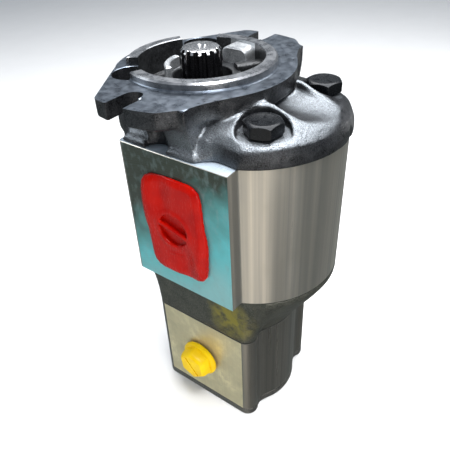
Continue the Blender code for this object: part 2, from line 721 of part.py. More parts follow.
def make_rear_drive():
    """Rear driving gear, with a splined nose that meets the coupling."""
    gear_low, gear_high = rear_gear_levels()
    journal = REAR_JOURNAL_RADIUS
    teeth = gear_outline(REAR_MODULE, REAR_TIP_RADIUS, REAR_ROOT_RADIUS, -math.pi / 2)
    gear = prism("rear_drive_gear", teeth, gear_low, gear_high, gear_steel())
    end = REAR_COVER_TOP + 0.4
    core = TAIL_ROOT_RADIUS - 0.4
    shaft = [(0.0, end), (journal - 1.0, end), (journal, end + 1.0), (journal, NOSE_LOW + 1.0),
             (core, NOSE_LOW + 2.0), (core, NOSE_HIGH - 1.0), (0.0, NOSE_HIGH - 1.0)]
    join(gear, turned("shaft", shaft, 16))
    nose = spline_outline(TAIL_TEETH, TAIL_TIP_RADIUS, TAIL_ROOT_RADIUS)
    join(gear, prism("nose", nose, NOSE_LOW, NOSE_HIGH))
    return smooth(gear)


def make_rear_idler():
    gear_low, gear_high = rear_gear_levels()
    levels = (REAR_COVER_TOP + 0.4, gear_low, gear_high, REAR_BODY_TOP - 0.7)
    return make_idler("rear_idler_gear", REAR_MODULE, REAR_TIP_RADIUS, REAR_ROOT_RADIUS,
                      REAR_JOURNAL_RADIUS, levels, REAR_CENTRE_DISTANCE)


def make_coupling():
    """Internally splined sleeve that joins the two driving shafts."""
    edge = COUPLING_RADIUS - 1.0
    profile = [(0.0, COUPLING_LOW), (edge, COUPLING_LOW), (COUPLING_RADIUS, COUPLING_LOW + 1.0),
               (COUPLING_RADIUS, COUPLING_HIGH - 1.0), (edge, COUPLING_HIGH), (0.0, COUPLING_HIGH)]
    sleeve = turned("shaft_coupling", profile, 20, gear_steel())
    inside = spline_outline(TAIL_TEETH, TAIL_TIP_RADIUS + 0.4, TAIL_ROOT_RADIUS + 0.4)
    cut(sleeve, prism("inside", inside, COUPLING_LOW - OVERRUN, COUPLING_HIGH + OVERRUN))
    return smooth(sleeve)


def make_hex_bolt(name, centre):
    """Long screw with a washer-faced hexagon head, through cover and body."""
    seat = COVER_SEAT + GAP
    corner = BOLT_HEAD_FLATS / math.sqrt(3)
    head = prism(name, circle(0.0, 0.0, corner, 6), seat + 1.2, seat + BOLT_HEAD_HEIGHT,
                 black_steel())
    crown = turned("crown", [(0.0, seat), (BOLT_HEAD_FLATS / 2 - 0.3, seat),
                             (corner + 0.8, seat + 3.4), (corner + 0.8, seat + 7.6),
                             (BOLT_HEAD_FLATS / 2 - 0.2, seat + BOLT_HEAD_HEIGHT + 1.0),
                             (0.0, seat + BOLT_HEAD_HEIGHT + 1.0)], 18)
    combine(head, crown, "INTERSECT")
    shank = [(0.0, BOLT_END), (BOLT_RADIUS - 1.0, BOLT_END), (BOLT_RADIUS, BOLT_END + 1.0),
             (BOLT_RADIUS, seat + 0.6), (BOLT_HEAD_FLATS / 2 - 0.6, seat),
             (BOLT_HEAD_FLATS / 2 - 0.6, seat + 1.6), (0.0, seat + 1.6)]
    join(head, turned("shank", shank, 12))
    head.data.transform(Matrix.Translation((centre[0] * MM, centre[1] * MM, 0.0)))
    return smooth(head)


def make_rear_screw(name, centre):
    """Countersunk socket screw, flush with the rear cover."""
    radius = REAR_BOLT_RADIUS
    profile = [(0.0, GAP), (REAR_BOLT_HEAD_RADIUS - 0.4, GAP), (radius, REAR_BOLT_HEAD_DEPTH),
               (radius, REAR_BOLT_END - 1.0), (radius - 1.0, REAR_BOLT_END), (0.0, REAR_BOLT_END)]
    screw = turned(name, profile, 12, black_steel())
    cut(screw, prism("socket", circle(0.0, 0.0, 3.45, 6), -2.0, 3.6))
    screw.data.transform(Matrix.Translation((centre[0] * MM, centre[1] * MM, 0.0)))
    return smooth(screw)


def make_adaptor():
    """Housing between the pumps: it narrows from the front body to the rear body."""
    top = adaptor_top_outline()
    bottom = rear_body_outline()
    high = ADAPTOR_TOP - GAP
    body = loft("adaptor_housing", [(REAR_BODY_TOP, bottom), (REAR_BODY_TOP + 2.0, bottom),
                                    (high - 6.0, top), (high, top)], cast_grey())
    over = high + OVERRUN
    under = REAR_BODY_TOP - OVERRUN
    cut(body, cylinder("chamber", (0.0, 0.0), CHAMBER_RADIUS, CHAMBER_FLOOR, over, 28))
    cut(body, cylinder("nose_bore", (0.0, 0.0), NOSE_BORE_RADIUS, under, CHAMBER_FLOOR + 2.0, 24))
    cut_holes(body, front_bolt_centres(), BOLT_HOLE_RADIUS, BOLT_END - 2.0, over)
    cut_holes(body, rear_bolt_centres(), REAR_BOLT_HOLE_RADIUS, under, REAR_BOLT_END + 2.0)
    cut_holes(body, dowel_centres(FRONT_DOWEL_X, FRONT_PORT_Y),
              FRONT_DOWEL_RADIUS + DOWEL_CLEARANCE, high - 9.0, over, 8)
    cut_holes(body, dowel_centres(REAR_DOWEL_X, REAR_PORT_Y),
              REAR_DOWEL_RADIUS + DOWEL_CLEARANCE, under, REAR_BODY_TOP + 8.0, 8)
    return smooth(body)


def make_rear_pump_body():
    low = REAR_COVER_TOP
    high = REAR_BODY_TOP - GAP
    body = prism("rear_pump_body", rear_body_outline(), low, high, machined_aluminium())
    under = low - OVERRUN
    over = high + OVERRUN
    cut_gear_chamber(body, REAR_CENTRE_DISTANCE, REAR_BORE_RADIUS, under, over, 28)
    cut_holes(body, rear_bolt_centres(), REAR_BOLT_HOLE_RADIUS, under, over)
    for side in (1, -1):
        cut_port(body, side, REAR_PORT_RADIUS, REAR_PORT_Y, REAR_PORT_Z, REAR_HALF_WIDTH,
                 REAR_PORT_DEPTH, 24)
    cut_seal_groove(body, REAR_CENTRE_DISTANCE, REAR_SEAL_INNER, REAR_SEAL_OUTER, low, high)
    cut_holes(body, dowel_centres(REAR_DOWEL_X, REAR_PORT_Y),
              REAR_DOWEL_RADIUS + DOWEL_CLEARANCE, high - 8.0, over, 8)
    return smooth(body)


def make_rear_cover():
    cover = prism("rear_cover", rear_body_outline(), 0.0, REAR_COVER_TOP - GAP, cast_grey())
    for centre in rear_bolt_centres():
        sink = [(0.0, -1.5), (REAR_BOLT_HEAD_RADIUS + 1.5, -1.5),
                (REAR_BOLT_HOLE_RADIUS, REAR_BOLT_HEAD_DEPTH),
                (REAR_BOLT_HOLE_RADIUS, REAR_COVER_TOP + 3.0), (0.0, REAR_COVER_TOP + 3.0)]
        cut(cover, turned("sink", sink, 12, None, centre))
    return smooth(cover)


def plug_plate_outline():
    """Tall plate with straight flanks, round corners and a bulge at half height."""
    quarter = arc(15.0, 29.0, 10.0, 78.0, 8.0, 5) + [(26.6, 12.0)]
    right = quarter + [(x, -y) for x, y in reversed(quarter)]
    return (right + [(-x, -y) for x, y in right])[::-1]


def make_red_plug(name, side):
    """Moulded port cover: a plate on the port face and a stem in the port."""
    plate = prism(name, plug_plate_outline(), GAP, 5.2, red_plastic())
    cut(plate, cylinder("dish", (0.0, 0.0), 12.0, 2.6, 8.0, 28))
    grip = prism("grip", [(-11.5, -1.8), (11.5, -1.8), (11.5, 1.8), (-11.5, 1.8)], 2.0, 4.8)
    grip.data.transform(Matrix.Rotation(math.radians(25.0), 4, "Z"))
    join(plate, grip)
    join(plate, cylinder("stem", (0.0, 0.0), FRONT_PORT_RADIUS - 0.5, -12.0, 1.5, 28))
    cut(plate, cylinder("hollow", (0.0, 0.0), FRONT_PORT_RADIUS - 2.3, -14.0, 0.9, 24))
    upright = Matrix.Rotation(math.pi / 2, 4, "Z")
    plate.data.transform(upright)
    lay_along_x(plate, side, FRONT_PORT_Y, FRONT_PORT_Z, BODY_HALF_WIDTH)
    return smooth(plate)


def make_yellow_plug(name, side):
    """Screw-in port plug with a collar, a hexagon head and a driver slot."""
    wide = YELLOW_COLLAR_RADIUS
    top = YELLOW_COLLAR_TOP
    thread = REAR_PORT_RADIUS - 0.4
    collar = [(0.0, -11.0), (thread - 0.8, -11.0), (thread, -10.0), (thread, 0.0),
              (thread - 1.2, 0.2), (thread - 1.2, 1.6), (wide - 0.6, 1.6), (wide, 2.4),
              (wide, top - 1.0), (wide - 1.0, top), (0.0, top)]
    plug = turned(name, collar, 20, yellow_plastic())
    head = prism("head", circle(0.0, 0.0, YELLOW_HEAD_RADIUS, 6), top - 1.4, YELLOW_HEAD_TOP)
    bevel = YELLOW_HEAD_TOP - 2.0
    crown = turned("crown", [(0.0, 3.0), (YELLOW_HEAD_RADIUS + 0.9, 3.0),
                             (YELLOW_HEAD_RADIUS + 0.9, bevel),
                             (YELLOW_HEAD_RADIUS - 1.4, YELLOW_HEAD_TOP),
                             (0.0, YELLOW_HEAD_TOP)], 16)
    combine(head, crown, "INTERSECT")
    join(plug, head)
    reach = YELLOW_SLOT_LENGTH / 2
    slot = prism("slot", [(-reach, -0.9), (reach, -0.9), (reach, 0.9), (-reach, 0.9)],
                 YELLOW_HEAD_TOP - 1.8, YELLOW_HEAD_TOP + 3.0)
    slot.data.transform(Matrix.Rotation(math.radians(38.0), 4, "Z"))
    cut(plug, slot)
    lay_along_x(plug, side, REAR_PORT_Y, REAR_PORT_Z, REAR_HALF_WIDTH)
    return smooth(plug)


def make_plug_seal(name, side):
    inner = REAR_PORT_RADIUS - 1.2
    profile = [(inner, 0.3), (12.6, 0.3), (12.6, 1.3), (inner, 1.3)]
    ring = turned(name, profile, 16, seal_rubber())
    lay_along_x(ring, side, REAR_PORT_Y, REAR_PORT_Z, REAR_HALF_WIDTH)
    return smooth(ring)


def make_dowels(prefix, centres, radius, low, high):
    for side_name, centre in zip(("right", "left"), centres):
        profile = [(0.0, low), (radius - 0.6, low), (radius, low + 0.8), (radius, high - 0.8),
                   (radius - 0.6, high), (0.0, high)]
        smooth(turned(prefix + "_" + side_name, profile, 8, gear_steel(), centre))


def make_front_pump():
    low = ADAPTOR_TOP
    high = FRONT_BODY_TOP - GAP
    distance = FRONT_CENTRE_DISTANCE
    radius = FRONT_BORE_RADIUS - 0.5
    bore = FRONT_JOURNAL_RADIUS + BUSH_WALL + 2 * GAP
    make_front_cover()
    make_shaft_seal()
    make_retaining_ring()
    make_front_pump_body()
    make_drive_shaft()
    make_front_idler()
    levels = {"lower": (low, low + FRONT_BLOCK_HEIGHT, "bottom", (low, low + 1.7)),
              "upper": (high - FRONT_BLOCK_HEIGHT, high, "top", (high - 1.7, high))}
    for level, (block_low, block_high, face, seal_levels) in levels.items():
        make_bearing_block("front_bearing_block_" + level, distance, radius, bore, block_low,
                           block_high, face)
        make_balance_seal("front_balance_seal_" + level, distance, radius, bore, *seal_levels)
        make_body_seal("front_body_seal_" + level, distance, FRONT_SEAL_INNER + GAP,
                       FRONT_SEAL_OUTER - GAP, *seal_levels)
        for shaft, centre_y in (("drive", 0.0), ("idler", -distance)):
            make_bush("front_bush_" + shaft + "_" + level, centre_y, FRONT_JOURNAL_RADIUS,
                      block_low, block_high)
    for number, centre in enumerate(front_bolt_centres(), start=1):
        make_hex_bolt("front_hex_bolt_" + str(number), centre)
    dowels = dowel_centres(FRONT_DOWEL_X, FRONT_PORT_Y)
    make_dowels("cover_dowel", dowels, FRONT_DOWEL_RADIUS, high - 8.5, high + 8.0)
    make_dowels("adaptor_dowel", dowels, FRONT_DOWEL_RADIUS, low - 8.5, low + 8.5)
    make_red_plug("front_port_plug_left", -1)
    make_red_plug("front_port_plug_right", 1)


def make_rear_pump():
    low = REAR_COVER_TOP
    high = REAR_BODY_TOP - GAP
    distance = REAR_CENTRE_DISTANCE
    radius = REAR_BORE_RADIUS - 0.5
    bore = REAR_JOURNAL_RADIUS + BUSH_WALL + 2 * GAP
    make_adaptor()
    make_coupling()
    make_rear_pump_body()
    make_rear_drive()
    make_rear_idler()
    levels = {"lower": (low, low + REAR_BLOCK_HEIGHT, "bottom", (low, low + 1.7)),
              "upper": (high - REAR_BLOCK_HEIGHT, high, "top", (high - 1.7, high))}
    for level, (block_low, block_high, face, seal_levels) in levels.items():
        make_bearing_block("rear_bearing_block_" + level, distance, radius, bore, block_low,
                           block_high, face)
        make_balance_seal("rear_balance_seal_" + level, distance, radius, bore, *seal_levels)
        make_body_seal("rear_body_seal_" + level, distance, REAR_SEAL_INNER + GAP,
                       REAR_SEAL_OUTER - GAP, *seal_levels)
        for shaft, centre_y in (("drive", 0.0), ("idler", -distance)):
            make_bush("rear_bush_" + shaft + "_" + level, centre_y, REAR_JOURNAL_RADIUS,
                      block_low, block_high)
    make_rear_cover()
    for number, centre in enumerate(rear_bolt_centres(), start=1):
        make_rear_screw("rear_cover_screw_" + str(number), centre)
    make_dowels("rear_dowel", dowel_centres(REAR_DOWEL_X, REAR_PORT_Y), REAR_DOWEL_RADIUS,
                high - 7.5, high + 8.0)
    for side_name, side in (("left", -1), ("right", 1)):
        make_yellow_plug("rear_port_plug_" + side_name, side)
        make_plug_seal("rear_plug_seal_" + side_name, side)


def set_joint_origins():
    """Give each turning piece its origin on its own shaft line."""
    lines = {"drive_shaft_gear": 0.0, "front_idler_gear": -FRONT_CENTRE_DISTANCE,
             "rear_drive_gear": 0.0, "rear_idler_gear": -REAR_CENTRE_DISTANCE,
             "shaft_coupling": 0.0}
    for name, line_y in lines.items():
        item = bpy.data.objects[name]
        item.data.transform(Matrix.Translation((0.0, -line_y * MM, 0.0)))
        item.location = (0.0, line_y * MM, 0.0)


clear_scene()
make_front_pump()
make_rear_pump()
set_joint_origins()
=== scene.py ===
"""Looks of the tandem gear pump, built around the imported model.

Z runs up the drive shaft and X along the flange ears and the port faces. The
idler gears lie on the -Y side. Shapes below are given in millimetres.
"""
import json
import math

import bmesh
import bpy
import numpy as np
from mathutils import Matrix, Vector


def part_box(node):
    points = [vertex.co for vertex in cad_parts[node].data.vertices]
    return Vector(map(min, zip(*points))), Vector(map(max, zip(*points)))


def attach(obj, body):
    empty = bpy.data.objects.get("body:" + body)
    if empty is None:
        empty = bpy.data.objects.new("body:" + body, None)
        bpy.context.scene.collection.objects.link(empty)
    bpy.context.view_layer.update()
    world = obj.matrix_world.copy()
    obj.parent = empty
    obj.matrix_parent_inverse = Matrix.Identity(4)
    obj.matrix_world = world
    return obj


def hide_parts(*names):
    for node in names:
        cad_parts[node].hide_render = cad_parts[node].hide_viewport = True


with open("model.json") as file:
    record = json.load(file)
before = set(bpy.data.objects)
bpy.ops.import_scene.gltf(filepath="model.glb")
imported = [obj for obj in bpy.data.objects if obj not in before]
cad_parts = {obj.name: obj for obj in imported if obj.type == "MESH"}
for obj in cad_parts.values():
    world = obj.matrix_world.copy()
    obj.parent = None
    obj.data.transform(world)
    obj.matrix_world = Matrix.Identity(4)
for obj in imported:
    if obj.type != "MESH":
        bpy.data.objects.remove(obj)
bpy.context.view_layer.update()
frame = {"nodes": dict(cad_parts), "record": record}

MM = 0.001
HOUSING = "housing"
SMOOTH_ANGLE = math.radians(30.0)


def span(node, axis=2):
    """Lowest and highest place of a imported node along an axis, in millimetres."""
    low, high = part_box(node)
    return low[axis] / MM, high[axis] / MM


# Levels of the housing along the shaft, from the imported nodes.
BODY_BOTTOM, BODY_TOP = span("front_pump_body")
COVER_BOTTOM, PILOT_TOP = span("front_cover")
SHAFT_TAIL, SHAFT_END = span("drive_shaft_gear")
ADAPTOR_BOTTOM, ADAPTOR_TOP = span("adaptor_housing")
REAR_BOTTOM, REAR_TOP = span("rear_pump_body")
REAR_COVER_TOP = span("rear_cover")[1]
PORT_FACE = span("front_pump_body", 0)[1]

# How far a cutter goes past the piece that it cuts.
BEYOND = 5.0

# Flange and pilot.
FLANGE_FACE = PILOT_TOP - 5.5
FLANGE_BOTTOM = FLANGE_FACE - 12.0
PILOT_RADIUS = 50.8
PILOT_INNER_RADIUS = 42.8
NECK_RADIUS = 54.0
FLANGE_LOW_RADIUS = 63.6
FLANGE_HIGH_RADIUS = 58.5
EAR_RADIUS = 81.5
SLOT_HALF_WIDTH = 7.3
SLOT_CENTRE_X = 65.7

# Cavity inside the pilot: hub, seal seat, ribs, boss and oil guard.
HUB_RADIUS = 26.0
CAVITY_FLOOR = 270.0
CAVITY_ROOT = 268.0
SEAL_BORE_RADIUS = 20.3
SEAL_SEAT = 262.0
SEAL_RING_GROOVE = (270.4, 272.4)
SEAL_RING_DEPTH = 1.3
COVER_SHAFT_RADIUS = 14.5
HUB_TOP = 279.0
RIB_ANGLES = (20.0, 160.0, 215.0, 325.0)
RIB_HALF_WIDTH = 4.5
RIB_TOP = 282.5
RIB_CORNER = 2.6
BOSS_FACE_X = 29.0
BOSS_LOW_Y = -16.0
BOSS_HIGH_Y = 5.0
BOSS_TOP = 289.3
BOSS_CORNER = 5.0
GUARD_ANGLES = (85.0, 150.0)
GUARD_INNER_RADIUS = 21.2
GUARD_OUTER_RADIUS = 25.2
GUARD_TOP = 287.7

# Front body, its cover and bolts.
COVER_ARC_RADIUS = 64.0
CROWN_HALF_WIDTH = 58.5
RIM_HALF_WIDTH = 63.9
HOLLOW_LEVEL = -16.2  # from the flange face
HOLLOW_HALF_WIDTH = 17.2
HOLLOW_YS = (-104.0, -58.0)
NICK_PLACE = (12.0, -107.0)
NICK_RADIUS = 2.6
BODY_ARC_RADIUS = 62.0
IDLER_ARC_Y = -42.4
DRIVE_ARC_Y = -6.0
PAD_LOW_Y = -67.7
PAD_HIGH_Y = 16.5
PAD_BACK_Y = 19.4
BOLT_X = 36.7
BOLT_YS = (29.5, -72.6)
BOLT_SEAT = 268.5
BOLT_END = 134.0
BOLT_HOLE_RADIUS = 7.4
BOLT_POCKET_RADIUS = 16.0
NOTCH_HALF_WIDTH = 2.6
BOLT_SINK_RADIUS = 12.9
HEAD_HEIGHT = 8.8
HEAD_FLATS = 21.0
FRONT_CENTRE_DISTANCE = 48.0
FRONT_BORE_RADIUS = 28.4
FRONT_PORT_Y = -24.0
FRONT_PORT_Z = 200.0
FRONT_PORT_RADIUS = 15.0
HOSE_SCREW_Y = 13.0
HOSE_SCREW_Z = 26.0
HOSE_SCREW_RADIUS = 4.4

# Rear body, its cover screws and the adaptor's bores.
REAR_HALF_WIDTH = 47.5
REAR_PAD_LOW_Y = -52.5
REAR_PAD_HIGH_Y = 16.5
REAR_ARC_RADIUS = 42.0
REAR_IDLER_ARC_Y = -33.0
REAR_DRIVE_ARC_Y = -3.0
LOBE_X = 38.5
LOBE_YS = (18.6, -58.5)
LOBE_RADIUS = 9.0
REAR_CENTRE_DISTANCE = 36.0
REAR_BORE_RADIUS = 21.4
REAR_PORT_Y = -18.0
REAR_PORT_Z = 49.0
REAR_PORT_RADIUS = 10.4
SCREW_HOLE_RADIUS = 5.35
SCREW_HEAD_RADIUS = 9.3
COUPLING_BORE_RADIUS = 17.4
COUPLING_FLOOR = 97.4
TAIL_BORE_RADIUS = 10.0

# Drive shaft.
TEETH = 12
MODULE = 4.0
GEAR_TIP_RADIUS = 27.8
GEAR_ROOT_RADIUS = 19.0
GEAR_INSET = 30.2
JOURNAL_RADIUS = 14.0
NECKED_RADIUS = 11.6
TAIL_RADIUS = 6.8
SPLINE_TEETH = 15
SPLINE_TIP_RADIUS = 13.65
SPLINE_ROOT_RADIUS = 11.75
SPLINE_LOW = 268.4
TAIL_TEETH = 10
TAIL_TIP_RADIUS = 8.6
TAIL_ROOT_RADIUS = 7.2
TAIL_SPLINE_TOP = 135.0
SHAFT_STEP = 134.0
END_HOLE_DEPTH = 9.0

BOLT_PLACES = [(side * BOLT_X, y) for y in BOLT_YS for side in (1, -1)]
SCREW_PLACES = [(side * LOBE_X, y) for y in LOBE_YS for side in (1, -1)]


# ---------------------------------------------------------------- outlines

def arc(centre_x, centre_y, radius, start, end, steps):
    """Points from start to end, in degrees, both ends included."""
    points = []
    for index in range(steps + 1):
        angle = math.radians(start + (end - start) * index / steps)
        points.append((centre_x + radius * math.cos(angle),
                       centre_y + radius * math.sin(angle)))
    return points


def circle(centre_x, centre_y, radius, segments):
    return arc(centre_x, centre_y, radius, 0.0, 360.0, segments)[:-1]


def both_sides(right):
    """A closed outline from its right half, listed from the lowest to the highest point."""
    return right + [(-x, y) for x, y in reversed(right) if abs(x) > 1e-6]


def inset(points, amount):
    """The outline moved inwards; points run counter-clockwise."""
    moved = []
    for index, point in enumerate(points):
        here = Vector(point)
        first = (here - Vector(points[index - 1])).normalized()
        second = (Vector(points[(index + 1) % len(points)]) - here).normalized()
        normal = Vector((-first.y - second.y, first.x + second.x))
        if normal.length < 1e-6:
            moved.append(tuple(here))
            continue
        normal.normalize()
        share = max(0.5, normal.dot(Vector((-first.y, first.x))))
        moved.append(tuple(here + normal * (amount / share)))
    return moved


def front_body_outline():
    fillet = 2.5
    reach = BODY_ARC_RADIUS + fillet
    low_drop = PAD_LOW_Y - fillet - IDLER_ARC_Y
    high_rise = PAD_BACK_Y + fillet - DRIVE_ARC_Y
    low_x = math.sqrt(reach ** 2 - low_drop ** 2)
    high_x = math.sqrt(reach ** 2 - high_rise ** 2)
    low_angle = math.degrees(math.atan2(low_drop, low_x))
    high_angle = math.degrees(math.atan2(high_rise, high_x))
    right = arc(0.0, IDLER_ARC_Y, BODY_ARC_RADIUS, -90.0, low_angle, 40)
    right += arc(low_x, PAD_LOW_Y - fillet, fillet, 180.0 + low_angle, 90.0, 6)[1:]
    right += [(PORT_FACE, PAD_LOW_Y), (PORT_FACE, PAD_HIGH_Y), (PORT_FACE - 0.2, 17.6),
              (PORT_FACE - 0.9, 18.6), (PORT_FACE - 2.0, 19.2), (PORT_FACE - 3.4, PAD_BACK_Y)]
    right += arc(high_x, PAD_BACK_Y + fillet, fillet, 270.0, 180.0 + high_angle, 6)
    right += arc(0.0, DRIVE_ARC_Y, BODY_ARC_RADIUS, high_angle, 90.0, 40)[1:]
    return both_sides(right)


def rear_body_outline():
    right = arc(0.0, REAR_IDLER_ARC_Y, REAR_ARC_RADIUS, -90.0, -58.0, 14)
    right += [(25.0, -67.3), (27.6, -66.1), (29.8, -65.6), (31.8, -65.7)]
    right += arc(LOBE_X, LOBE_YS[1], LOBE_RADIUS, -122.0, -2.0, 22)
    right += [(REAR_HALF_WIDTH, REAR_PAD_LOW_Y), (REAR_HALF_WIDTH, REAR_PAD_HIGH_Y)]
    right += arc(LOBE_X, LOBE_YS[0], LOBE_RADIUS, 2.0, 122.0, 22)
    right += [(31.8, 26.9), (29.8, 27.8), (27.6, 29.3), (25.0, 31.0)]
    right += arc(0.0, REAR_DRIVE_ARC_Y, REAR_ARC_RADIUS, 58.0, 90.0, 14)
    return both_sides(right)


def adaptor_top_outline():
    edge = math.degrees(math.acos(REAR_HALF_WIDTH / BODY_ARC_RADIUS))
    right = arc(0.0, IDLER_ARC_Y, BODY_ARC_RADIUS, -90.0, -edge, 24)
    right += arc(0.0, DRIVE_ARC_Y, BODY_ARC_RADIUS, edge, 90.0, 24)
    return both_sides(right)


def flange_outline():
    half_slot = math.degrees(math.asin(SLOT_HALF_WIDTH / EAR_RADIUS))
    right = arc(0.0, 0.0, FLANGE_LOW_RADIUS, -90.0, -60.0, 12)
    right += [(38.0, -51.4), (45.0, -47.0), (56.0, -41.6), (64.5, -37.0), (68.0, -35.0),
              (71.5, -32.6), (74.6, -29.6)]
    right += arc(0.0, 0.0, EAR_RADIUS, -19.5, -half_slot, 6)
    right += arc(SLOT_CENTRE_X, 0.0, SLOT_HALF_WIDTH, 270.0, 90.0, 20)
    right += arc(0.0, 0.0, EAR_RADIUS, half_slot, 12.0, 4)
    right += [(79.0, 18.1), (78.2, 19.0), (46.0, 39.8), (38.6, 44.4), (33.4, 47.6)]
    right += arc(0.0, 0.0, FLANGE_HIGH_RADIUS, 58.0, 90.0, 8)
    return both_sides(right)


def cover_outline():
    """Foot of the casting: the body's round ends, with recesses beside the port pads."""
    reach = COVER_ARC_RADIUS + 1.4
    right = arc(0.0, IDLER_ARC_Y, reach, -90.0, -26.2, 30)
    right += [(57.2, -62.0), (56.8, -54.6), (57.4, -51.0), (60.0, -47.4), (65.4, -42.8),
              (66.2, -40.6), (66.3, -21.6), (65.4, -20.4), (61.0, -20.2), (57.6, -18.8),
              (55.6, -16.0), (55.0, -12.4), (55.6, -8.8), (57.6, -6.0), (61.0, -4.6),
              (65.4, -4.4), (66.3, -3.2), (66.3, 14.0), (65.0, 16.2), (61.4, 16.6)]
    right += arc(0.0, DRIVE_ARC_Y, reach, 21.4, 90.0, 30)
    return both_sides(right)


def rim_outline(half_width):
    """Round ends of the casting, cut off flat at the given half width."""
    half = math.degrees(math.acos(half_width / COVER_ARC_RADIUS))
    right = arc(0.0, IDLER_ARC_Y, COVER_ARC_RADIUS, -90.0, -half, 24)
    right += arc(0.0, DRIVE_ARC_Y, COVER_ARC_RADIUS, half, 90.0, 24)
    return both_sides(right)


def gear_outline(module, teeth, tip_radius, root_radius, turn):
    """Involute teeth with a rounded root; turn is the angle of the first tooth, in radians."""
    pressure = math.radians(20.0)
    pitch_radius = module * teeth / 2
    base_radius = pitch_radius * math.cos(pressure)
    pitch_half = math.pi / (2 * teeth) - 0.1 / pitch_radius
    flank = []
    for step in range(7):
        radius = base_radius + (tip_radius - base_radius) * step / 6
        angle = math.acos(base_radius / radius)
        half = pitch_half + math.tan(pressure) - pressure - (math.tan(angle) - angle)
        flank.append((radius, half))
    foot = [(root_radius, flank[0][1] + 0.055), (root_radius + 0.35, flank[0][1] + 0.02)]
    shape = [(radius, -half) for radius, half in foot + flank] + (foot + flank)[::-1]
    points = []
    for tooth in range(teeth):
        for radius, half in shape:
            angle = turn + tooth * 2 * math.pi / teeth + half
            points.append((radius * math.cos(angle), radius * math.sin(angle)))
    return points


def spline_outline(teeth, tip_radius, root_radius, lower_tip=0.0):
    """Spline teeth with curved flanks and round roots."""
    shape = [(0.0, 0.335), (0.05, 0.305), (0.16, 0.275), (0.36, 0.245), (0.62, 0.212),
             (0.86, 0.178), (1.0, 0.148)]
    shape = [(share, -half) for share, half in shape] + shape[::-1]
    points = []
    for tooth in range(teeth):
        for share, turn in shape:
            radius = root_radius + (tip_radius - root_radius) * share
            radius = min(radius, tip_radius - lower_tip)
            angle = (tooth + turn) * 2 * math.pi / teeth
            points.append((radius * math.cos(angle), radius * math.sin(angle)))
    return points


def rectangle(low_x, high_x, low_y, high_y):
    return [(low_x, low_y), (high_x, low_y), (high_x, high_y), (low_x, high_y)]


# ---------------------------------------------------------------- meshes

def make_object(name, vertices, faces):
    mesh = bpy.data.meshes.new(name)
    mesh.from_pydata([(x * MM, y * MM, z * MM) for x, y, z in vertices], [], faces)
    made = place(name, mesh)
    outward(made)
    return made


def place(name, data):
    """A new object in the scene with this mesh, light or camera."""
    made = bpy.data.objects.new(name, data)
    bpy.context.scene.collection.objects.link(made)
    return made


def outward(item):
    mesh_data = bmesh.new()
    mesh_data.from_mesh(item.data)
    bmesh.ops.recalc_face_normals(mesh_data, faces=mesh_data.faces)
    mesh_data.to_mesh(item.data)
    mesh_data.free()


def loft(name, sections):
    """A solid through outlines of equal point count, as (height, outline) pairs."""
    count = len(sections[0][1])
    vertices = []
    faces = []
    for height, outline in sections:
        vertices += [(x, y, height) for x, y in outline]
    for level in range(len(sections) - 1):
        low = level * count
        high = low + count
        for index in range(count):
            after = (index + 1) % count
            faces.append((low + index, low + after, high + after, high + index))
    faces.append(tuple(range(count))[::-1])
    faces.append(tuple(range(len(vertices) - count, len(vertices))))
    return make_object(name, vertices, faces)


def prism(name, outline, low, high, chamfer_low=0.0, chamfer_high=0.0):
    sections = []
    if chamfer_low:
        sections.append((low, inset(outline, chamfer_low)))
    sections.append((low + chamfer_low, outline))
    sections.append((high - chamfer_high, outline))
    if chamfer_high:
        sections.append((high, inset(outline, chamfer_high)))
    return loft(name, sections)


def turned(name, profile, segments, centre=(0.0, 0.0)):
    """A solid turned about a vertical axis from (radius, height) pairs.

    A profile whose ends have radius zero is solid, any other is a closed ring.
    """
    vertices = []
    rings = []
    for radius, height in profile:
        start = len(vertices)
        if radius == 0.0:
            vertices.append((centre[0], centre[1], height))
            rings.append((start, 1))
            continue
        vertices += [(x, y, height) for x, y in circle(centre[0], centre[1], radius, segments)]
        rings.append((start, segments))
    pairs = list(zip(rings, rings[1:]))
    if profile[0][0] > 0.0:
        pairs.append((rings[-1], rings[0]))
    faces = []
    for (low, low_count), (high, high_count) in pairs:
        for index in range(segments):
            after = (index + 1) % segments
            if low_count == 1:
                faces.append((low, high + after, high + index))
            elif high_count == 1:
                faces.append((low + index, low + after, high))
            else:
                faces.append((low + index, low + after, high + after, high + index))
    return make_object(name, vertices, faces)


def combine(target, tool, operation):
    modifier = target.modifiers.new("boolean", "BOOLEAN")
    modifier.operation = operation
    modifier.solver = "MANIFOLD"
    modifier.object = tool
    bpy.context.view_layer.update()
    depsgraph = bpy.context.evaluated_depsgraph_get()
    result = bpy.data.meshes.new_from_object(target.evaluated_get(depsgraph))
    target.modifiers.clear()
    target.data = result
    bpy.data.objects.remove(tool)
    return target


def cut(target, *tools):
    for tool in tools:
        combine(target, tool, "DIFFERENCE")
    return target


def join(target, *tools):
    for tool in tools:
        combine(target, tool, "UNION")
    return target


def cylinder(centre, radius, low, high, segments=64):
    return prism("tool", circle(centre[0], centre[1], radius, segments), low, high)


def countersunk(centre, radius, low, high, chamfer, segments=64):
    """A hole cutter whose mouth, at the high end, is chamfered."""
    profile = [(0.0, low), (radius, low), (radius, high - chamfer),
               (radius + chamfer * 2, high + chamfer), (0.0, high + chamfer)]
    return turned("tool", profile, segments, centre)


def lay_along_x(item, side, centre_y, centre_z, face_x):
    """Turn a piece made along Z so that its top points out of the side's port face."""
    turn = Matrix.Rotation(side * math.pi / 2, 4, "Y")
    shift = Matrix.Translation((side * face_x * MM, centre_y * MM, centre_z * MM))
    item.data.transform(shift @ turn)
    return item


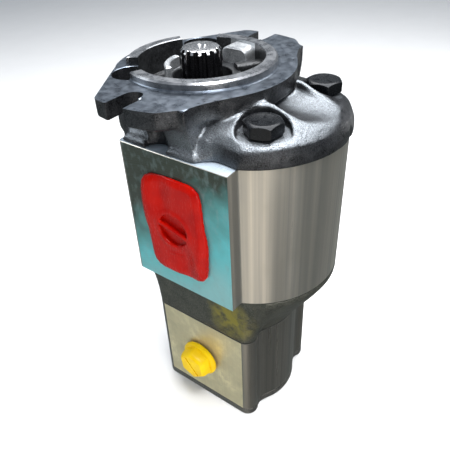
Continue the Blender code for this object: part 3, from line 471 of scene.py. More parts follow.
def lay_outwards(item, angle=0.0):
    """Lay a piece made along Z so that it runs out from the shaft, its section's Y upwards."""
    stand = Matrix(((0, 0, 1, 0), (1, 0, 0, 0), (0, 1, 0, 0), (0, 0, 0, 1)))
    item.data.transform(Matrix.Rotation(math.radians(angle), 4, "Z") @ stand)
    outward(item)
    return item


def spun(item, angle):
    """Turn a piece about Z by an angle in degrees."""
    item.data.transform(Matrix.Rotation(math.radians(angle), 4, "Z"))
    return item


def cut_holes(target, places, radius, low, high, segments):
    for centre in places:
        cut(target, cylinder(centre, radius, low, high, segments))


# ---------------------------------------------------------------- fields

def grid_axes(low, high, step):
    """Sample positions along X, Y and Z, shaped to combine with each other."""
    axes = []
    for index in range(3):
        values = np.arange(low[index], high[index] + step, step)
        shape = [1, 1, 1]
        shape[index] = len(values)
        axes.append(values.reshape(shape))
    return axes


def outline_distance(outline, x, y):
    """Distance from an outline in the plane, negative inside it."""
    nearest = np.full(np.broadcast_shapes(x.shape, y.shape), 1e9)
    inside = np.zeros(nearest.shape, bool)
    for index, (x1, y1) in enumerate(outline):
        x0, y0 = outline[index - 1]
        run, rise = x1 - x0, y1 - y0
        length = run * run + rise * rise
        if length < 1e-12:
            continue
        along = np.clip(((x - x0) * run + (y - y0) * rise) / length, 0.0, 1.0)
        gap = (x - x0 - along * run) ** 2 + (y - y0 - along * rise) ** 2
        nearest = np.minimum(nearest, gap)
        if abs(rise) > 1e-12:
            crosses = ((y0 > y) != (y1 > y)) & (x < run * (y - y0) / rise + x0)
            inside ^= crosses
    nearest = np.sqrt(nearest)
    return np.where(inside, -nearest, nearest)


def soft_join(first, second, width):
    share = np.clip(0.5 + 0.5 * (second - first) / width, 0.0, 1.0)
    return second * (1 - share) + first * share - width * share * (1 - share)


def soft_overlap(first, second, width):
    return -soft_join(-first, -second, width)


def soft_cut(solid, tool, width):
    return soft_overlap(solid, -tool, width)


def surface(name, field, low, step):
    """Mesh of the surface where the field is zero, with one point in each cell it crosses."""
    inside = field < 0
    corners = [(i, j, k) for i in (0, 1) for j in (0, 1) for k in (0, 1)]
    cells = [s - 1 for s in field.shape]

    def corner(values, offset):
        return values[offset[0]:offset[0] + cells[0], offset[1]:offset[1] + cells[1],
                      offset[2]:offset[2] + cells[2]]

    total = sum(corner(inside, c).astype(np.int8) for c in corners)
    crossed = (total > 0) & (total < 8)
    where = np.argwhere(crossed)
    sums = np.zeros((len(where), 3))
    counts = np.zeros(len(where))
    for first in corners:
        for axis in range(3):
            if first[axis]:
                continue
            second = list(first)
            second[axis] = 1
            a = corner(field, first)[crossed]
            b = corner(field, second)[crossed]
            change = (a < 0) != (b < 0)
            share = np.where(change, a / np.where(change, a - b, 1.0), 0.0)
            point = np.array(first, float) + np.zeros((len(where), 3))
            point[:, axis] += share
            sums += point * change[:, None]
            counts += change
    points = (where + sums / counts[:, None]) * step + np.array(low)
    number = np.full(crossed.shape, -1, np.int64)
    number[crossed] = np.arange(len(where))
    quads = []
    for axis in range(3):
        u, v = [a for a in range(3) if a != axis]
        start = [slice(1, -1)] * 3
        start[axis] = slice(0, -1)
        end = [slice(1, -1)] * 3
        end[axis] = slice(1, None)
        a = inside[tuple(start)]
        b = inside[tuple(end)]
        hits = np.argwhere(a != b)
        flip = a[a != b]
        base = hits.copy()
        base[:, u] += 1
        base[:, v] += 1
        ring = []
        for du, dv in ((-1, -1), (0, -1), (0, 0), (-1, 0)):
            cell = base.copy()
            cell[:, u] += du
            cell[:, v] += dv
            ring.append(number[cell[:, 0], cell[:, 1], cell[:, 2]])
        ring = np.stack(ring, 1)
        if axis == 1:
            flip = ~flip
        ring[~flip] = ring[~flip][:, ::-1]
        quads.append(ring)
    quads = np.concatenate(quads)
    mesh = bpy.data.meshes.new(name)
    mesh.from_pydata((points * MM).tolist(), [], quads.tolist())
    return place(name, mesh)


# ---------------------------------------------------------------- finishes

class Graph:
    """Shader nodes and the links between them."""

    def __init__(self, tree):
        self.tree = tree
        self.places = self.node("TexCoord").outputs

    def node(self, kind, **settings):
        made = self.tree.nodes.new("ShaderNode" + kind)
        for name, value in settings.items():
            setattr(made, name, value)
        return made

    def link(self, source, target):
        if hasattr(source, "is_output"):
            self.tree.links.new(source, target)
        else:
            target.default_value = source

    def maths(self, operation, *values, clamp=False):
        node = self.node("Math", operation=operation, use_clamp=clamp)
        for index, value in enumerate(values):
            self.link(value, node.inputs[index])
        return node.outputs[0]

    def product(self, first, second, clamp=False):
        return self.maths("MULTIPLY", first, second, clamp=clamp)

    def scaled(self, value, factor, offset):
        return self.maths("MULTIPLY_ADD", value, factor, offset)

    def mix(self, share, first, second, kind="MIX"):
        node = self.node("Mix", data_type="RGBA", blend_type=kind)
        self.link(share, node.inputs[0])
        for socket, value in ((node.inputs[6], first), (node.inputs[7], second)):
            self.link(value if hasattr(value, "is_output") else (*value, 1.0), socket)
        return node.outputs[2]


class Finish(Graph):
    """A material in object coordinates; lengths given to it are in millimetres."""

    def __init__(self, name, metallic, roughness, specular=0.5):
        self.material = bpy.data.materials.new(name)
        self.material.use_nodes = True
        super().__init__(self.material.node_tree)
        self.shader = self.tree.nodes["Principled BSDF"]
        self.set("Metallic", metallic)
        self.set("Roughness", roughness)
        self.set("Specular IOR Level", specular)
        self.coords = self.places["Object"]
        self.normal = self.places["Normal"]

    def set(self, name, value):
        self.link(value, self.shader.inputs[name])

    def axes(self, source=None):
        node = self.node("SeparateXYZ")
        self.link(source or self.coords, node.inputs[0])
        return node.outputs

    def near(self, centre, reach):
        """One at a point, falling to nought at the reach."""
        offset = self.node("VectorMath", operation="DISTANCE")
        self.link(self.coords, offset.inputs[0])
        self.link([c * MM for c in centre], offset.inputs[1])
        share = self.maths("DIVIDE", offset.outputs["Value"], reach * MM)
        return self.maths("SUBTRACT", 1.0, share, clamp=True)

    def distance(self, first, second):
        """Length of the line with these two sides."""
        return self.maths("SQRT", self.scaled(first, first, self.product(second, second)))

    def vector(self, x, y, z):
        node = self.node("CombineXYZ")
        for index, value in enumerate((x, y, z)):
            self.link(value, node.inputs[index])
        return node.outputs[0]

    def noise(self, size, detail=3.0, stretch=(1.0, 1.0, 1.0), source=None, roughness=0.55):
        """Noise with features of about this size; stretch lengthens them along an axis."""
        mapping = self.node("Mapping")
        self.link([1.0 / (size * MM * s) for s in stretch], mapping.inputs["Scale"])
        self.link(source or self.coords, mapping.inputs["Vector"])
        node = self.node("TexNoise")
        self.link(1.0, node.inputs["Scale"])
        self.link(detail, node.inputs["Detail"])
        self.link(roughness, node.inputs["Roughness"])
        self.link(mapping.outputs[0], node.inputs["Vector"])
        return node.outputs["Fac"]

    def cells(self, size):
        node = self.node("TexVoronoi")
        self.link(1.0 / (size * MM), node.inputs["Scale"])
        self.link(self.coords, node.inputs["Vector"])
        return node.outputs["Distance"]

    def ramp(self, value, *stops):
        """Colours or grey levels placed along a value: (position, colour or level)."""
        node = self.node("ValToRGB")
        elements = node.color_ramp.elements
        while len(elements) < len(stops):
            elements.new(0.5)
        for element, (position, colour) in zip(elements, stops):
            element.position = position
            if isinstance(colour, float):
                colour = (colour, colour, colour)
            element.color = (*colour, 1.0)
        self.link(value, node.inputs[0])
        return node.outputs[0]

    def bump(self, *layers):
        """Heights as (value, millimetres) pairs, stacked on each other."""
        last = None
        for height, depth in layers:
            node = self.node("Bump")
            self.link(1.0, node.inputs["Strength"])
            self.link(depth * MM, node.inputs["Distance"])
            self.link(height, node.inputs["Height"])
            if last:
                self.link(last, node.inputs["Normal"])
            last = node.outputs[0]
        self.set("Normal", last)


def shaded(colour, factor, offset=0.0):
    return tuple(min(1.0, c * factor + offset) for c in colour)


def cast_finish(name, dark, light, grain, depth, roughness, metallic=0.75, painted_highlight=None,
                smudge=None):
    """Sand-cast metal under a film of oil: grain that breaks the gloss into sparkles.

    The painted highlight colour lies where a surface faces upwards and towards -X, and on
    the painted highlight spot beside a front bolt. A smudge is (centre, reach, colour).
    """
    finish = Finish(name, metallic, roughness)
    coarse = finish.noise(grain * 9, 3.0)
    fine = finish.noise(grain, 2.0, roughness=0.7)
    pits = finish.cells(grain * 1.6)
    tone = finish.ramp(coarse, (0.3, dark), (0.72, light))
    speck = finish.ramp(fine, (0.45, 0.0), (0.75, 1.0))
    base = finish.mix(finish.product(speck, 0.55), tone, shaded(light, 2.4, 0.03))
    # Painted highlight: a lighter colour on faces turned up and towards -X, where the overhead
    # lights reflect, and on a spot beside a front bolt.
    if painted_highlight:
        across, along, up = finish.axes(finish.normal)
        light_facing = finish.scaled(along, -0.17, finish.product(up, 0.86))
        light_facing = finish.scaled(across, -0.48, light_facing)
        # The spot of painted highlight beside a front bolt.
        shoulder = finish.ramp(finish.near(PAINTED_HIGHLIGHT_SPOT, PAINTED_HIGHLIGHT_REACH), (0.1, 0.0), (0.5, 1.0))
        rise = finish.maths("MAXIMUM", finish.ramp(light_facing, (0.78, 0.0), (0.9, 1.0)), shoulder)
        sparkle = finish.noise(grain * 0.8, 2.0, roughness=0.8)
        painted_highlight_share = finish.product(rise, finish.ramp(sparkle, (0.42, 0.12), (0.56, 1.0)))
        base = finish.mix(painted_highlight_share, base, painted_highlight)
    if smudge:
        centre, reach, paint = smudge
        patch = finish.product(finish.near(centre, reach),
                               finish.ramp(coarse, (0.35, 0.2), (0.6, 1.6)), clamp=True)
        base = finish.mix(patch, base, paint)
    finish.set("Base Color", base)
    finish.set("Roughness", finish.scaled(fine, 0.22, finish.scaled(coarse, 0.3, roughness - 0.23)))
    finish.bump((coarse, 0.35), (pits, depth * 0.6), (fine, depth))
    return finish.material


def machined_finish(name, colour, roughness, lines="turned", line_size=0.35, tint=None,
                    depth=0.012, metallic=0.95):
    """Machined metal with fine tool lines: round the shaft or along one axis."""
    finish = Finish(name, metallic, roughness)
    x, y, z = finish.axes()
    if lines == "turned":
        source = finish.vector(finish.distance(x, y), 0.0, finish.product(z, 0.4))
        marks = finish.noise(line_size, 2.0, source=source)
    else:
        stretch = {"along_z": (1.0, 1.0, 160.0), "along_y": (1.0, 30.0, 1.0)}[lines]
        marks = finish.noise(line_size, 3.0, stretch)
    cloud = finish.ramp(finish.noise(22.0, 4.0), (0.35, 0.0), (0.68, 1.0))
    stain = finish.noise(5.0, 5.0)
    spots = finish.noise(0.7, 1.0)
    base = finish.mix(cloud, shaded(colour, 0.72), shaded(colour, 1.2))
    if tint:
        base = finish.mix(finish.ramp(stain, (0.42, 0.0), (0.62, 0.8)), base, tint)
    line_share = finish.product(finish.ramp(marks, (0.35, 0.0), (0.65, 1.0)), 0.3)
    finish.set("Base Color", finish.mix(line_share, base, shaded(colour, 0.7)))
    finish.set("Roughness", finish.scaled(marks, 0.18, finish.scaled(stain, 0.3, roughness - 0.24)))
    finish.bump((marks, depth), (spots, depth * 0.6))
    return finish.material


def brushed_body_finish(name, shade):
    """Extruded aluminium: streaks along the shaft and broad bands round the curve."""
    finish = Finish(name, 0.9, 0.34)
    hair = finish.noise(0.5, 3.0, (1.0, 1.0, 220.0))
    streak = finish.noise(2.6, 3.0, (1.0, 1.0, 90.0))
    band = finish.noise(13.0, 2.0, (1.0, 1.0, 60.0))
    cloud = finish.noise(30.0, 4.0)
    base = finish.ramp(band, (0.34, shaded((0.40, 0.385, 0.35), shade)),
                       (0.5, shaded((0.56, 0.53, 0.47), shade)),
                       (0.66, shaded((0.70, 0.655, 0.58), shade)))
    base = finish.mix(finish.ramp(streak, (0.38, 0.0), (0.66, 0.55)), base,
                      shaded((0.34, 0.335, 0.32), shade))
    base = finish.mix(finish.ramp(cloud, (0.46, 0.0), (0.72, 0.4)), base,
                      shaded((0.46, 0.44, 0.38), shade))
    finish.set("Base Color", base)
    finish.set("Roughness", finish.scaled(streak, 0.26, 0.2))
    finish.bump((hair, 0.012), (streak, 0.02))
    finish.set("Anisotropic", 0.4)
    return finish.material


def port_face_finish(name):
    """Milled port face: a painted teal reflection, lighter low down and dark olive higher up and
    towards +Y, faint cutter arcs and a few dry stains.
    """
    finish = Finish(name, 0.5, 0.36)
    x, y, z = finish.axes()
    # Painted reflection: a teal tint that is lighter low down and turns dark olive higher up and
    # towards +Y.
    high = finish.scaled(z, 0.01 / MM, -1.5)
    height = finish.scaled(y, 0.006 / MM, finish.scaled(finish.noise(26.0, 3.0), 0.6, high))
    base = finish.ramp(height, (0.0, (0.3, 0.6, 0.61)), (0.45, (0.15, 0.6, 0.63)),
                       (0.72, (0.1, 0.3, 0.29)), (0.95, (0.045, 0.05, 0.035)))
    stain = finish.noise(4.0, 5.0, (1.0, 1.0, 1.6))
    base = finish.mix(finish.ramp(stain, (0.5, 0.0), (0.72, 0.32)), base, (0.3, 0.42, 0.42))
    sweep = finish.distance(finish.maths("ADD", y, 20.0 * MM),
                            finish.maths("SUBTRACT", z, 100.0 * MM))
    arcs = finish.noise(0.55, 2.0, source=finish.vector(sweep, 0.0, 0.0))
    arc_share = finish.product(finish.ramp(arcs, (0.4, 0.0), (0.6, 1.0)), 0.16)
    finish.set("Base Color", finish.mix(arc_share, base, (0.12, 0.2, 0.2)))
    finish.set("Roughness", finish.scaled(stain, 0.3, 0.2))
    finish.bump((arcs, 0.01), (finish.noise(0.8, 2.0), 0.008))
    return finish.material


def plastic_finish(name, colour, deep, roughness, coat):
    finish = Finish(name, 0.0, roughness, 0.16)
    flow = finish.noise(12.0, 3.0)
    skin = finish.noise(0.9, 3.0)
    scuff = finish.noise(2.2, 5.0, (1.0, 0.35, 2.0))
    base = finish.mix(finish.ramp(flow, (0.3, 0.0), (0.7, 1.0)), deep, colour)
    base = finish.mix(finish.ramp(scuff, (0.66, 0.0), (0.84, 0.12)), base,
                      shaded(colour, 0.8, 0.15))
    finish.set("Base Color", base)
    finish.set("Roughness", finish.scaled(scuff, 0.3, roughness - 0.12))
    finish.bump((flow, 0.12), (skin, 0.012))
    finish.set("Coat Weight", coat)
    finish.set("Coat Roughness", 0.12)
    return finish.material


def simple_finish(name, colour, metallic, roughness, grain, depth):
    finish = Finish(name, metallic, roughness)
    fine = finish.noise(grain, 3.0)
    broad = finish.noise(grain * 12, 3.0)
    cloud = finish.ramp(broad, (0.3, 0.0), (0.7, 1.0))
    finish.set("Base Color", finish.mix(cloud, shaded(colour, 0.7), shaded(colour, 1.25)))
    finish.set("Roughness", finish.scaled(fine, 0.3, roughness - 0.15))
    finish.bump((broad, depth * 3), (fine, depth))
    return finish.material


# Centre and reach of a painted highlight on the black casting beside a front bolt.
PAINTED_HIGHLIGHT_SPOT = (-52.0, -38.0, 262.0)
PAINTED_HIGHLIGHT_REACH = 24.0
# The black casting gets a painted highlight colour on faces turned up and towards -X, and on a spot
# beside a front bolt.
CAST_BLACK = cast_finish("cast_black", (0.01, 0.011, 0.013), (0.045, 0.047, 0.052), 0.6, 0.2, 0.3,
                         painted_highlight=(0.25, 0.275, 0.3))
CAST_OLIVE = cast_finish("cast_olive", (0.036, 0.038, 0.031), (0.082, 0.083, 0.068), 0.9, 0.1,
                         0.42, 0.6, smudge=((-48.0, -50.0, 113.0), 24.0, (0.3, 0.26, 0.05)))
CAST_GREY = cast_finish("cast_grey", (0.06, 0.06, 0.055), (0.16, 0.155, 0.14), 0.8, 0.06, 0.4, 0.7)
FLANGE_METAL = machined_finish("flange_machined", (0.12, 0.142, 0.175), 0.32, "turned", 0.6,
                               (0.22, 0.25, 0.29), 0.03)
RING_METAL = machined_finish("ring_machined", (0.3, 0.31, 0.33), 0.3, "turned", 0.4,
                             (0.42, 0.43, 0.45), 0.012)
CAVITY_METAL = cast_finish("cavity_cast", (0.012, 0.013, 0.014), (0.04, 0.042, 0.045), 0.9, 0.1,
                           0.34, 0.6)
RIB_METAL = cast_finish("rib_cast", (0.3, 0.32, 0.34), (0.5, 0.52, 0.54), 0.8, 0.1, 0.38, 0.8)
BODY_METAL = brushed_body_finish("body_brushed", 1.0)
REAR_BODY_METAL = brushed_body_finish("rear_body_brushed", 0.46)
# Port faces carry a painted teal reflection, lighter low down and darker higher up.
PORT_METAL = port_face_finish("port_face_milled")
# Top joint face: a light bluish, nearly diffuse colour, partly the machined face's own colour and
# partly a painted reflection of bright surroundings.
TOP_METAL = machined_finish("joint_face", (0.56, 0.66, 0.76), 0.3, "along_y", 0.5, None, 0.01, 0.15)
REAR_METAL = machined_finish("rear_port_face", (0.72, 0.65, 0.42), 0.36, "along_z", 0.6,
                             (0.62, 0.55, 0.36), 0.012, 0.6)
BLOCK_METAL = machined_finish("block_turned", (0.55, 0.55, 0.55), 0.32, "turned", 0.5)
STEEL = machined_finish("ground_steel", (0.32, 0.32, 0.33), 0.26, "turned", 0.4, (0.2, 0.2, 0.21))
BRIGHT_STEEL = simple_finish("bright_steel", (0.62, 0.62, 0.63), 1.0, 0.24, 0.5, 0.01)
OILED_STEEL = simple_finish("oiled_steel", (0.045, 0.045, 0.05), 0.9, 0.24, 0.6, 0.02)
SPRING_STEEL = simple_finish("spring_steel", (0.12, 0.12, 0.14), 0.95, 0.3, 0.6, 0.015)
DOWEL_STEEL = simple_finish("dowel_steel", (0.5, 0.5, 0.52), 1.0, 0.25, 0.5, 0.008)
BLACK_OXIDE = simple_finish("black_oxide", (0.008, 0.0095, 0.012), 0.6, 0.26, 0.6, 0.03)
BRONZE = simple_finish("bearing_bronze", (0.5, 0.36, 0.18), 0.95, 0.34, 0.5, 0.012)
RUBBER = simple_finish("seal_rubber", (0.018, 0.018, 0.019), 0.0, 0.5, 0.5, 0.02)
RED_PLASTIC = plastic_finish("red_plastic", (0.44, 0.004, 0.0), (0.33, 0.001, 0.0), 0.22, 0.0)
YELLOW_PLASTIC = plastic_finish("yellow_plastic", (0.9, 0.62, 0.004), (0.8, 0.5, 0.0), 0.34, 0.06)


# ---------------------------------------------------------------- finishing pieces

def finish_piece(item, slot, node, *materials, body=HOUSING, choose=None):
    """Shade a piece, give its faces their materials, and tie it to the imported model."""
    item.data.materials.clear()
    for material in materials:
        item.data.materials.append(material)
    if choose:
        count = len(item.data.polygons)
        centres = np.zeros(count * 3)
        normals = np.zeros(count * 3)
        item.data.polygons.foreach_get("center", centres)
        item.data.polygons.foreach_get("normal", normals)
        centres = centres.reshape(-1, 3) / MM
        picks = choose(centres, normals.reshape(-1, 3))
        item.data.polygons.foreach_set("material_index", picks.astype(np.int32))
    item.data.shade_smooth()
    item.data.set_sharp_from_angle(angle=SMOOTH_ANGLE)
    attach(item, body)
    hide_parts(node)
    return item


# ---------------------------------------------------------------- front cover

def cover_field(low, high, step):
    x, y, z = grid_axes(low, high, step)
    depth = -outline_distance(rim_outline(CROWN_HALF_WIDTH), x, y)
    level = z - FLANGE_FACE
    crown = np.interp(depth, [-3.0, 0.0, 2.0, 8.0, 16.0, 24.0, 32.0, 41.0, 60.0],
                      [-27.0, -24.0, -20.5, -16.5, -13.4, -10.5, -7.0, -4.6, -4.0])
    wave = 0.35 * np.sin(x / 7.0 + 1.3) * np.sin(y / 9.0) + 0.25 * np.sin((x + y) / 4.3)
    plan = outline_distance(cover_outline(), x, y)
    solid = soft_overlap(plan + 0 * z, (level - crown - wave) * 0.9, 7.0)
    rim = np.where(np.abs(x) > 60.0, -1.0, outline_distance(rim_outline(RIM_HALF_WIDTH), x, y))
    solid = soft_overlap(solid, rim + 0 * z, 0.8)
    # hollow between the two ridges on the idler side
    side = np.abs(x)
    hollow_level = HOLLOW_LEVEL + 0.0022 * (y + 88.0) ** 2 + 0.012 * side ** 2
    hollow = np.maximum(np.maximum(side - HOLLOW_HALF_WIDTH, HOLLOW_YS[0] - y), y - HOLLOW_YS[1])
    hollow = soft_overlap(hollow + 0 * z, -(level - hollow_level), 4.0)
    solid = soft_cut(solid, hollow, 3.0)
    # cast pockets for the idler-side bolts, open to the rim through a small drain notch
    for sign in (1, -1):
        out = x * sign - BOLT_X
        back = y - BOLT_YS[1]
        pocket = np.maximum(np.hypot(out, back) - BOLT_POCKET_RADIUS + 0 * z, BOLT_SEAT - z)
        solid = soft_cut(solid, pocket, 2.4)
        along = out * 0.84 - back * 0.54
        across = np.abs(out * 0.54 + back * 0.84)
        notch = np.maximum(np.maximum(across - NOTCH_HALF_WIDTH, 10.0 - along), along - 22.0)
        notch = np.maximum(notch, BOLT_SEAT - 0.4 - z)
        solid = soft_cut(solid, notch, 1.6)
    # vertical nick in the rim
    nick = np.maximum(np.hypot(x - NICK_PLACE[0], y - NICK_PLACE[1]) - NICK_RADIUS, level + 17.5)
    solid = soft_cut(solid, nick, 1.2)
    # neck, flange, and the web that carries each ear
    neck = np.maximum(np.hypot(x, y) - NECK_RADIUS + 0 * z, level)
    solid = soft_join(solid, neck, 5.0)
    ears = outline_distance(flange_outline(), x, y)
    flange = soft_overlap(ears + 0 * z, FLANGE_BOTTOM - z, 2.6)
    flange = np.maximum(flange, level - 3.0)
    web = np.maximum(np.abs(y + 22.0) - 18.0 + 0 * z, side - 60.0 - 0.3 * (z - COVER_BOTTOM))
    web = np.maximum(web, level)
    solid = soft_join(solid, soft_overlap(web, plan - 1.0, 2.0), 2.5)
    solid = soft_join(solid, flange, 3.0)
    return np.maximum(solid, COVER_BOTTOM - z)


def join_pilot_details(cover):
    """Low ribs across the cavity, the wide boss on one side and the oil guard by the seal."""
    for angle in RIB_ANGLES:
        top = RIB_TOP - RIB_CORNER
        shoulder = RIB_HALF_WIDTH - RIB_CORNER
        section = [(-RIB_HALF_WIDTH - 0.8, CAVITY_ROOT), (RIB_HALF_WIDTH + 0.8, CAVITY_ROOT),
                   (RIB_HALF_WIDTH, top - 0.4)]
        section += arc(shoulder, top, RIB_CORNER, 0.0, 90.0, 6)
        section += arc(-shoulder, top, RIB_CORNER, 90.0, 180.0, 6)
        rib = prism("rib", section, HUB_RADIUS - 2.0, PILOT_INNER_RADIUS + 1.2)
        join(cover, lay_outwards(rib, angle))
    foot = [(HUB_RADIUS - 2.0, BOSS_LOW_Y), (40.4, BOSS_LOW_Y), (43.8, 0.0), (42.8, BOSS_HIGH_Y),
            (HUB_RADIUS - 2.0, BOSS_HIGH_Y)]
    join(cover, prism("foot", foot, CAVITY_ROOT, HUB_TOP - 0.5))
    top = BOSS_TOP - BOSS_CORNER
    section = [(BOSS_LOW_Y, CAVITY_ROOT), (BOSS_HIGH_Y, CAVITY_ROOT)]
    section += arc(BOSS_HIGH_Y - BOSS_CORNER, top, BOSS_CORNER, 0.0, 90.0, 8)
    section += arc(BOSS_LOW_Y + BOSS_CORNER, top, BOSS_CORNER, 90.0, 180.0, 8)
    join(cover, lay_outwards(prism("boss", section, BOSS_FACE_X, PILOT_INNER_RADIUS + 0.1, 0.9)))
    start, end = GUARD_ANGLES
    guard = arc(0.0, 0.0, GUARD_OUTER_RADIUS, start, end, 24)
    guard += arc(0.0, 0.0, GUARD_INNER_RADIUS, end, start, 24)
    join(cover, prism("guard", guard, HUB_TOP - 2.0, GUARD_TOP, 0.0, 0.8))


def pick_cover_faces(centres, normals):
    """Which of the cover's materials each face has."""
    casting, face, ring, cavity, bright = range(5)
    x, y, z = centres.T
    up = normals[:, 2]
    radius = np.hypot(x, y)
    picks = np.full(len(centres), casting)
    picks[(z > FLANGE_FACE - 0.6) & (up > 0.5)] = face
    picks[(radius > 49.3) & (radius < 51.0) & (z > FLANGE_FACE + 0.1)] = ring
    picks[z > PILOT_TOP - 1.2] = ring
    inner = (radius < 43.2) & (z < PILOT_TOP - 0.7)
    picks[inner] = cavity
    guard = (radius > GUARD_INNER_RADIUS - 0.3) & (radius < GUARD_OUTER_RADIUS + 0.3)
    picks[inner & guard & (z > HUB_TOP + 0.3) & (y > 8.0)] = bright
    boss = (x > BOSS_FACE_X - 0.3) & (y > BOSS_LOW_Y - 0.2) & (y < BOSS_HIGH_Y + 0.2)
    picks[inner & boss & (z > HUB_TOP - 1.0)] = bright
    picks[(up > 0.9) & (np.abs(z - FLANGE_FACE) < 0.05)] = face
    return picks


def make_cover():
    low = (-84.0, -109.0, COVER_BOTTOM - 2.05)
    high = (84.0, 63.0, FLANGE_FACE + 6.0)
    step = 0.95
    cover = surface("front_cover_casting", cover_field(low, high, step), low, step)
    above = PILOT_TOP + BEYOND
    below = COVER_BOTTOM - BEYOND
    cut(cover, prism("top", rectangle(-95, 95, -120, 75), FLANGE_FACE, above))
    ring = [(PILOT_INNER_RADIUS - 0.6, FLANGE_FACE - 2.0), (PILOT_RADIUS + 1.4, FLANGE_FACE - 2.0),
            (PILOT_RADIUS + 1.4, FLANGE_FACE + 0.02), (PILOT_RADIUS + 0.5, FLANGE_FACE + 0.35),
            (PILOT_RADIUS, FLANGE_FACE + 1.0), (PILOT_RADIUS, PILOT_TOP - 1.1),
            (PILOT_RADIUS - 1.1, PILOT_TOP), (PILOT_INNER_RADIUS - 0.6, PILOT_TOP)]
    join(cover, turned("ring", ring, 180))
    cavity = [(HUB_RADIUS, CAVITY_FLOOR + 1.5), (HUB_RADIUS + 1.5, CAVITY_FLOOR),
              (PILOT_INNER_RADIUS - 2.0, CAVITY_FLOOR), (PILOT_INNER_RADIUS, CAVITY_FLOOR + 2.0),
              (PILOT_INNER_RADIUS, PILOT_TOP - 0.5), (PILOT_INNER_RADIUS + 1.0, PILOT_TOP + 0.5),
              (PILOT_INNER_RADIUS + 1.0, PILOT_TOP + 2.0), (HUB_RADIUS, PILOT_TOP + 2.0)]
    cut(cover, turned("cavity", cavity, 128))
    axis = (0.0, 0.0)
    cut(cover, cylinder(axis, HUB_RADIUS + 1.0, HUB_TOP, above, 96))
    join_pilot_details(cover)
    cut(cover, countersunk(axis, SEAL_BORE_RADIUS, SEAL_SEAT, HUB_TOP + 0.5, 0.8, 96))
    cut(cover, cylinder(axis, SEAL_BORE_RADIUS + SEAL_RING_DEPTH, *SEAL_RING_GROOVE, 96))
    cut(cover, cylinder(axis, COVER_SHAFT_RADIUS, below, SEAL_SEAT + 3.0, 64))
    cut_holes(cover, BOLT_PLACES, BOLT_HOLE_RADIUS, below, BOLT_SEAT + 11.5, 48)
    for x, y in BOLT_PLACES[:2]:
        cut(cover, countersunk((x, y), BOLT_SINK_RADIUS, BOLT_SEAT, FLANGE_FACE, 0.4))
        scallop = [(0.0, FLANGE_FACE), (14.3, FLANGE_FACE), (14.3, PILOT_TOP - 0.5),
                   (15.3, PILOT_TOP + 0.5), (0.0, PILOT_TOP + 0.5)]
        cut(cover, turned("scallop", scallop, 72, (x, y + 1.5)))
    finish_piece(cover, "cast_cover", "front_cover", CAST_BLACK, FLANGE_METAL, RING_METAL,
                 CAVITY_METAL, RIB_METAL, choose=pick_cover_faces)


# ---------------------------------------------------------------- shaft

def pick_shaft_faces(centres, normals):
    """Oiled splines with bright chamfers and end hole; the rest is ground."""
    ground, oiled, bright = range(3)
    x, y, z = centres.T
    up = normals[:, 2] > 0.3
    radius = np.hypot(x, y)
    picks = np.full(len(centres), ground)
    picks[z > SEAL_SEAT] = oiled
    picks[(z > SHAFT_END - 0.45) & up] = ground
    picks[(z > SHAFT_END - 2.4) & up & (radius > 11.2)] = bright
    picks[(radius < 4.6) & (z > SHAFT_END - END_HOLE_DEPTH) & (normals[:, 2] > 0.2)] = bright
    return picks


def make_shaft():
    outline = gear_outline(MODULE, TEETH, GEAR_TIP_RADIUS, GEAR_ROOT_RADIUS, -math.pi / 2)
    shaft = prism("drive_shaft_turned", outline, BODY_BOTTOM + GEAR_INSET, BODY_TOP - GEAR_INSET,
                  0.4, 0.4)
    shoulder = BODY_BOTTOM + 10.0
    spline_top = SHAFT_END - 0.3
    journal = [(0.0, SHAFT_TAIL + 0.8), (TAIL_RADIUS, SHAFT_TAIL + 0.8), (TAIL_RADIUS, SHAFT_STEP),
               (NECKED_RADIUS - 0.8, SHAFT_STEP), (NECKED_RADIUS, SHAFT_STEP + 0.8),
               (NECKED_RADIUS, shoulder), (JOURNAL_RADIUS - 1.0, shoulder + 0.4),
               (JOURNAL_RADIUS, shoulder + 1.4), (JOURNAL_RADIUS, SPLINE_LOW - 0.9),
               (JOURNAL_RADIUS - 0.8, SPLINE_LOW + 0.2), (NECKED_RADIUS, SPLINE_LOW + 1.2),
               (NECKED_RADIUS, SHAFT_END - 0.6), (NECKED_RADIUS - 0.4, spline_top),
               (0.0, spline_top)]
    join(shaft, turned("journal", journal, 96))

    def spline(lower_tip):
        return spline_outline(SPLINE_TEETH, SPLINE_TIP_RADIUS, SPLINE_ROOT_RADIUS, lower_tip)

    join(shaft, loft("spline", [(SPLINE_LOW, spline(1.7)), (SPLINE_LOW + 2.0, spline(0.0)),
                                (SHAFT_END - 2.2, spline(0.0)), (SHAFT_END - 0.5, spline(1.25)),
                                (SHAFT_END, inset(spline(1.7), 0.45))]))
    tail = spline_outline(TAIL_TEETH, TAIL_TIP_RADIUS, TAIL_ROOT_RADIUS)
    blunt = spline_outline(TAIL_TEETH, TAIL_TIP_RADIUS, TAIL_ROOT_RADIUS, 1.0)
    join(shaft, loft("tail", [(SHAFT_TAIL, blunt), (SHAFT_TAIL + 1.0, tail),
                              (TAIL_SPLINE_TOP, tail)]))
    hole = [(0.0, -END_HOLE_DEPTH), (1.6, -8.0), (1.6, -4.6), (3.8, -0.9), (4.9, 0.6), (0.0, 0.6)]
    cut(shaft, turned("hole", [(radius, SHAFT_END + rise) for radius, rise in hole], 48))
    finish_piece(shaft, "gear_steel", "drive_shaft_gear", STEEL, OILED_STEEL, BRIGHT_STEEL,
                 body="drive_shaft", choose=pick_shaft_faces)


# ---------------------------------------------------------------- bolts

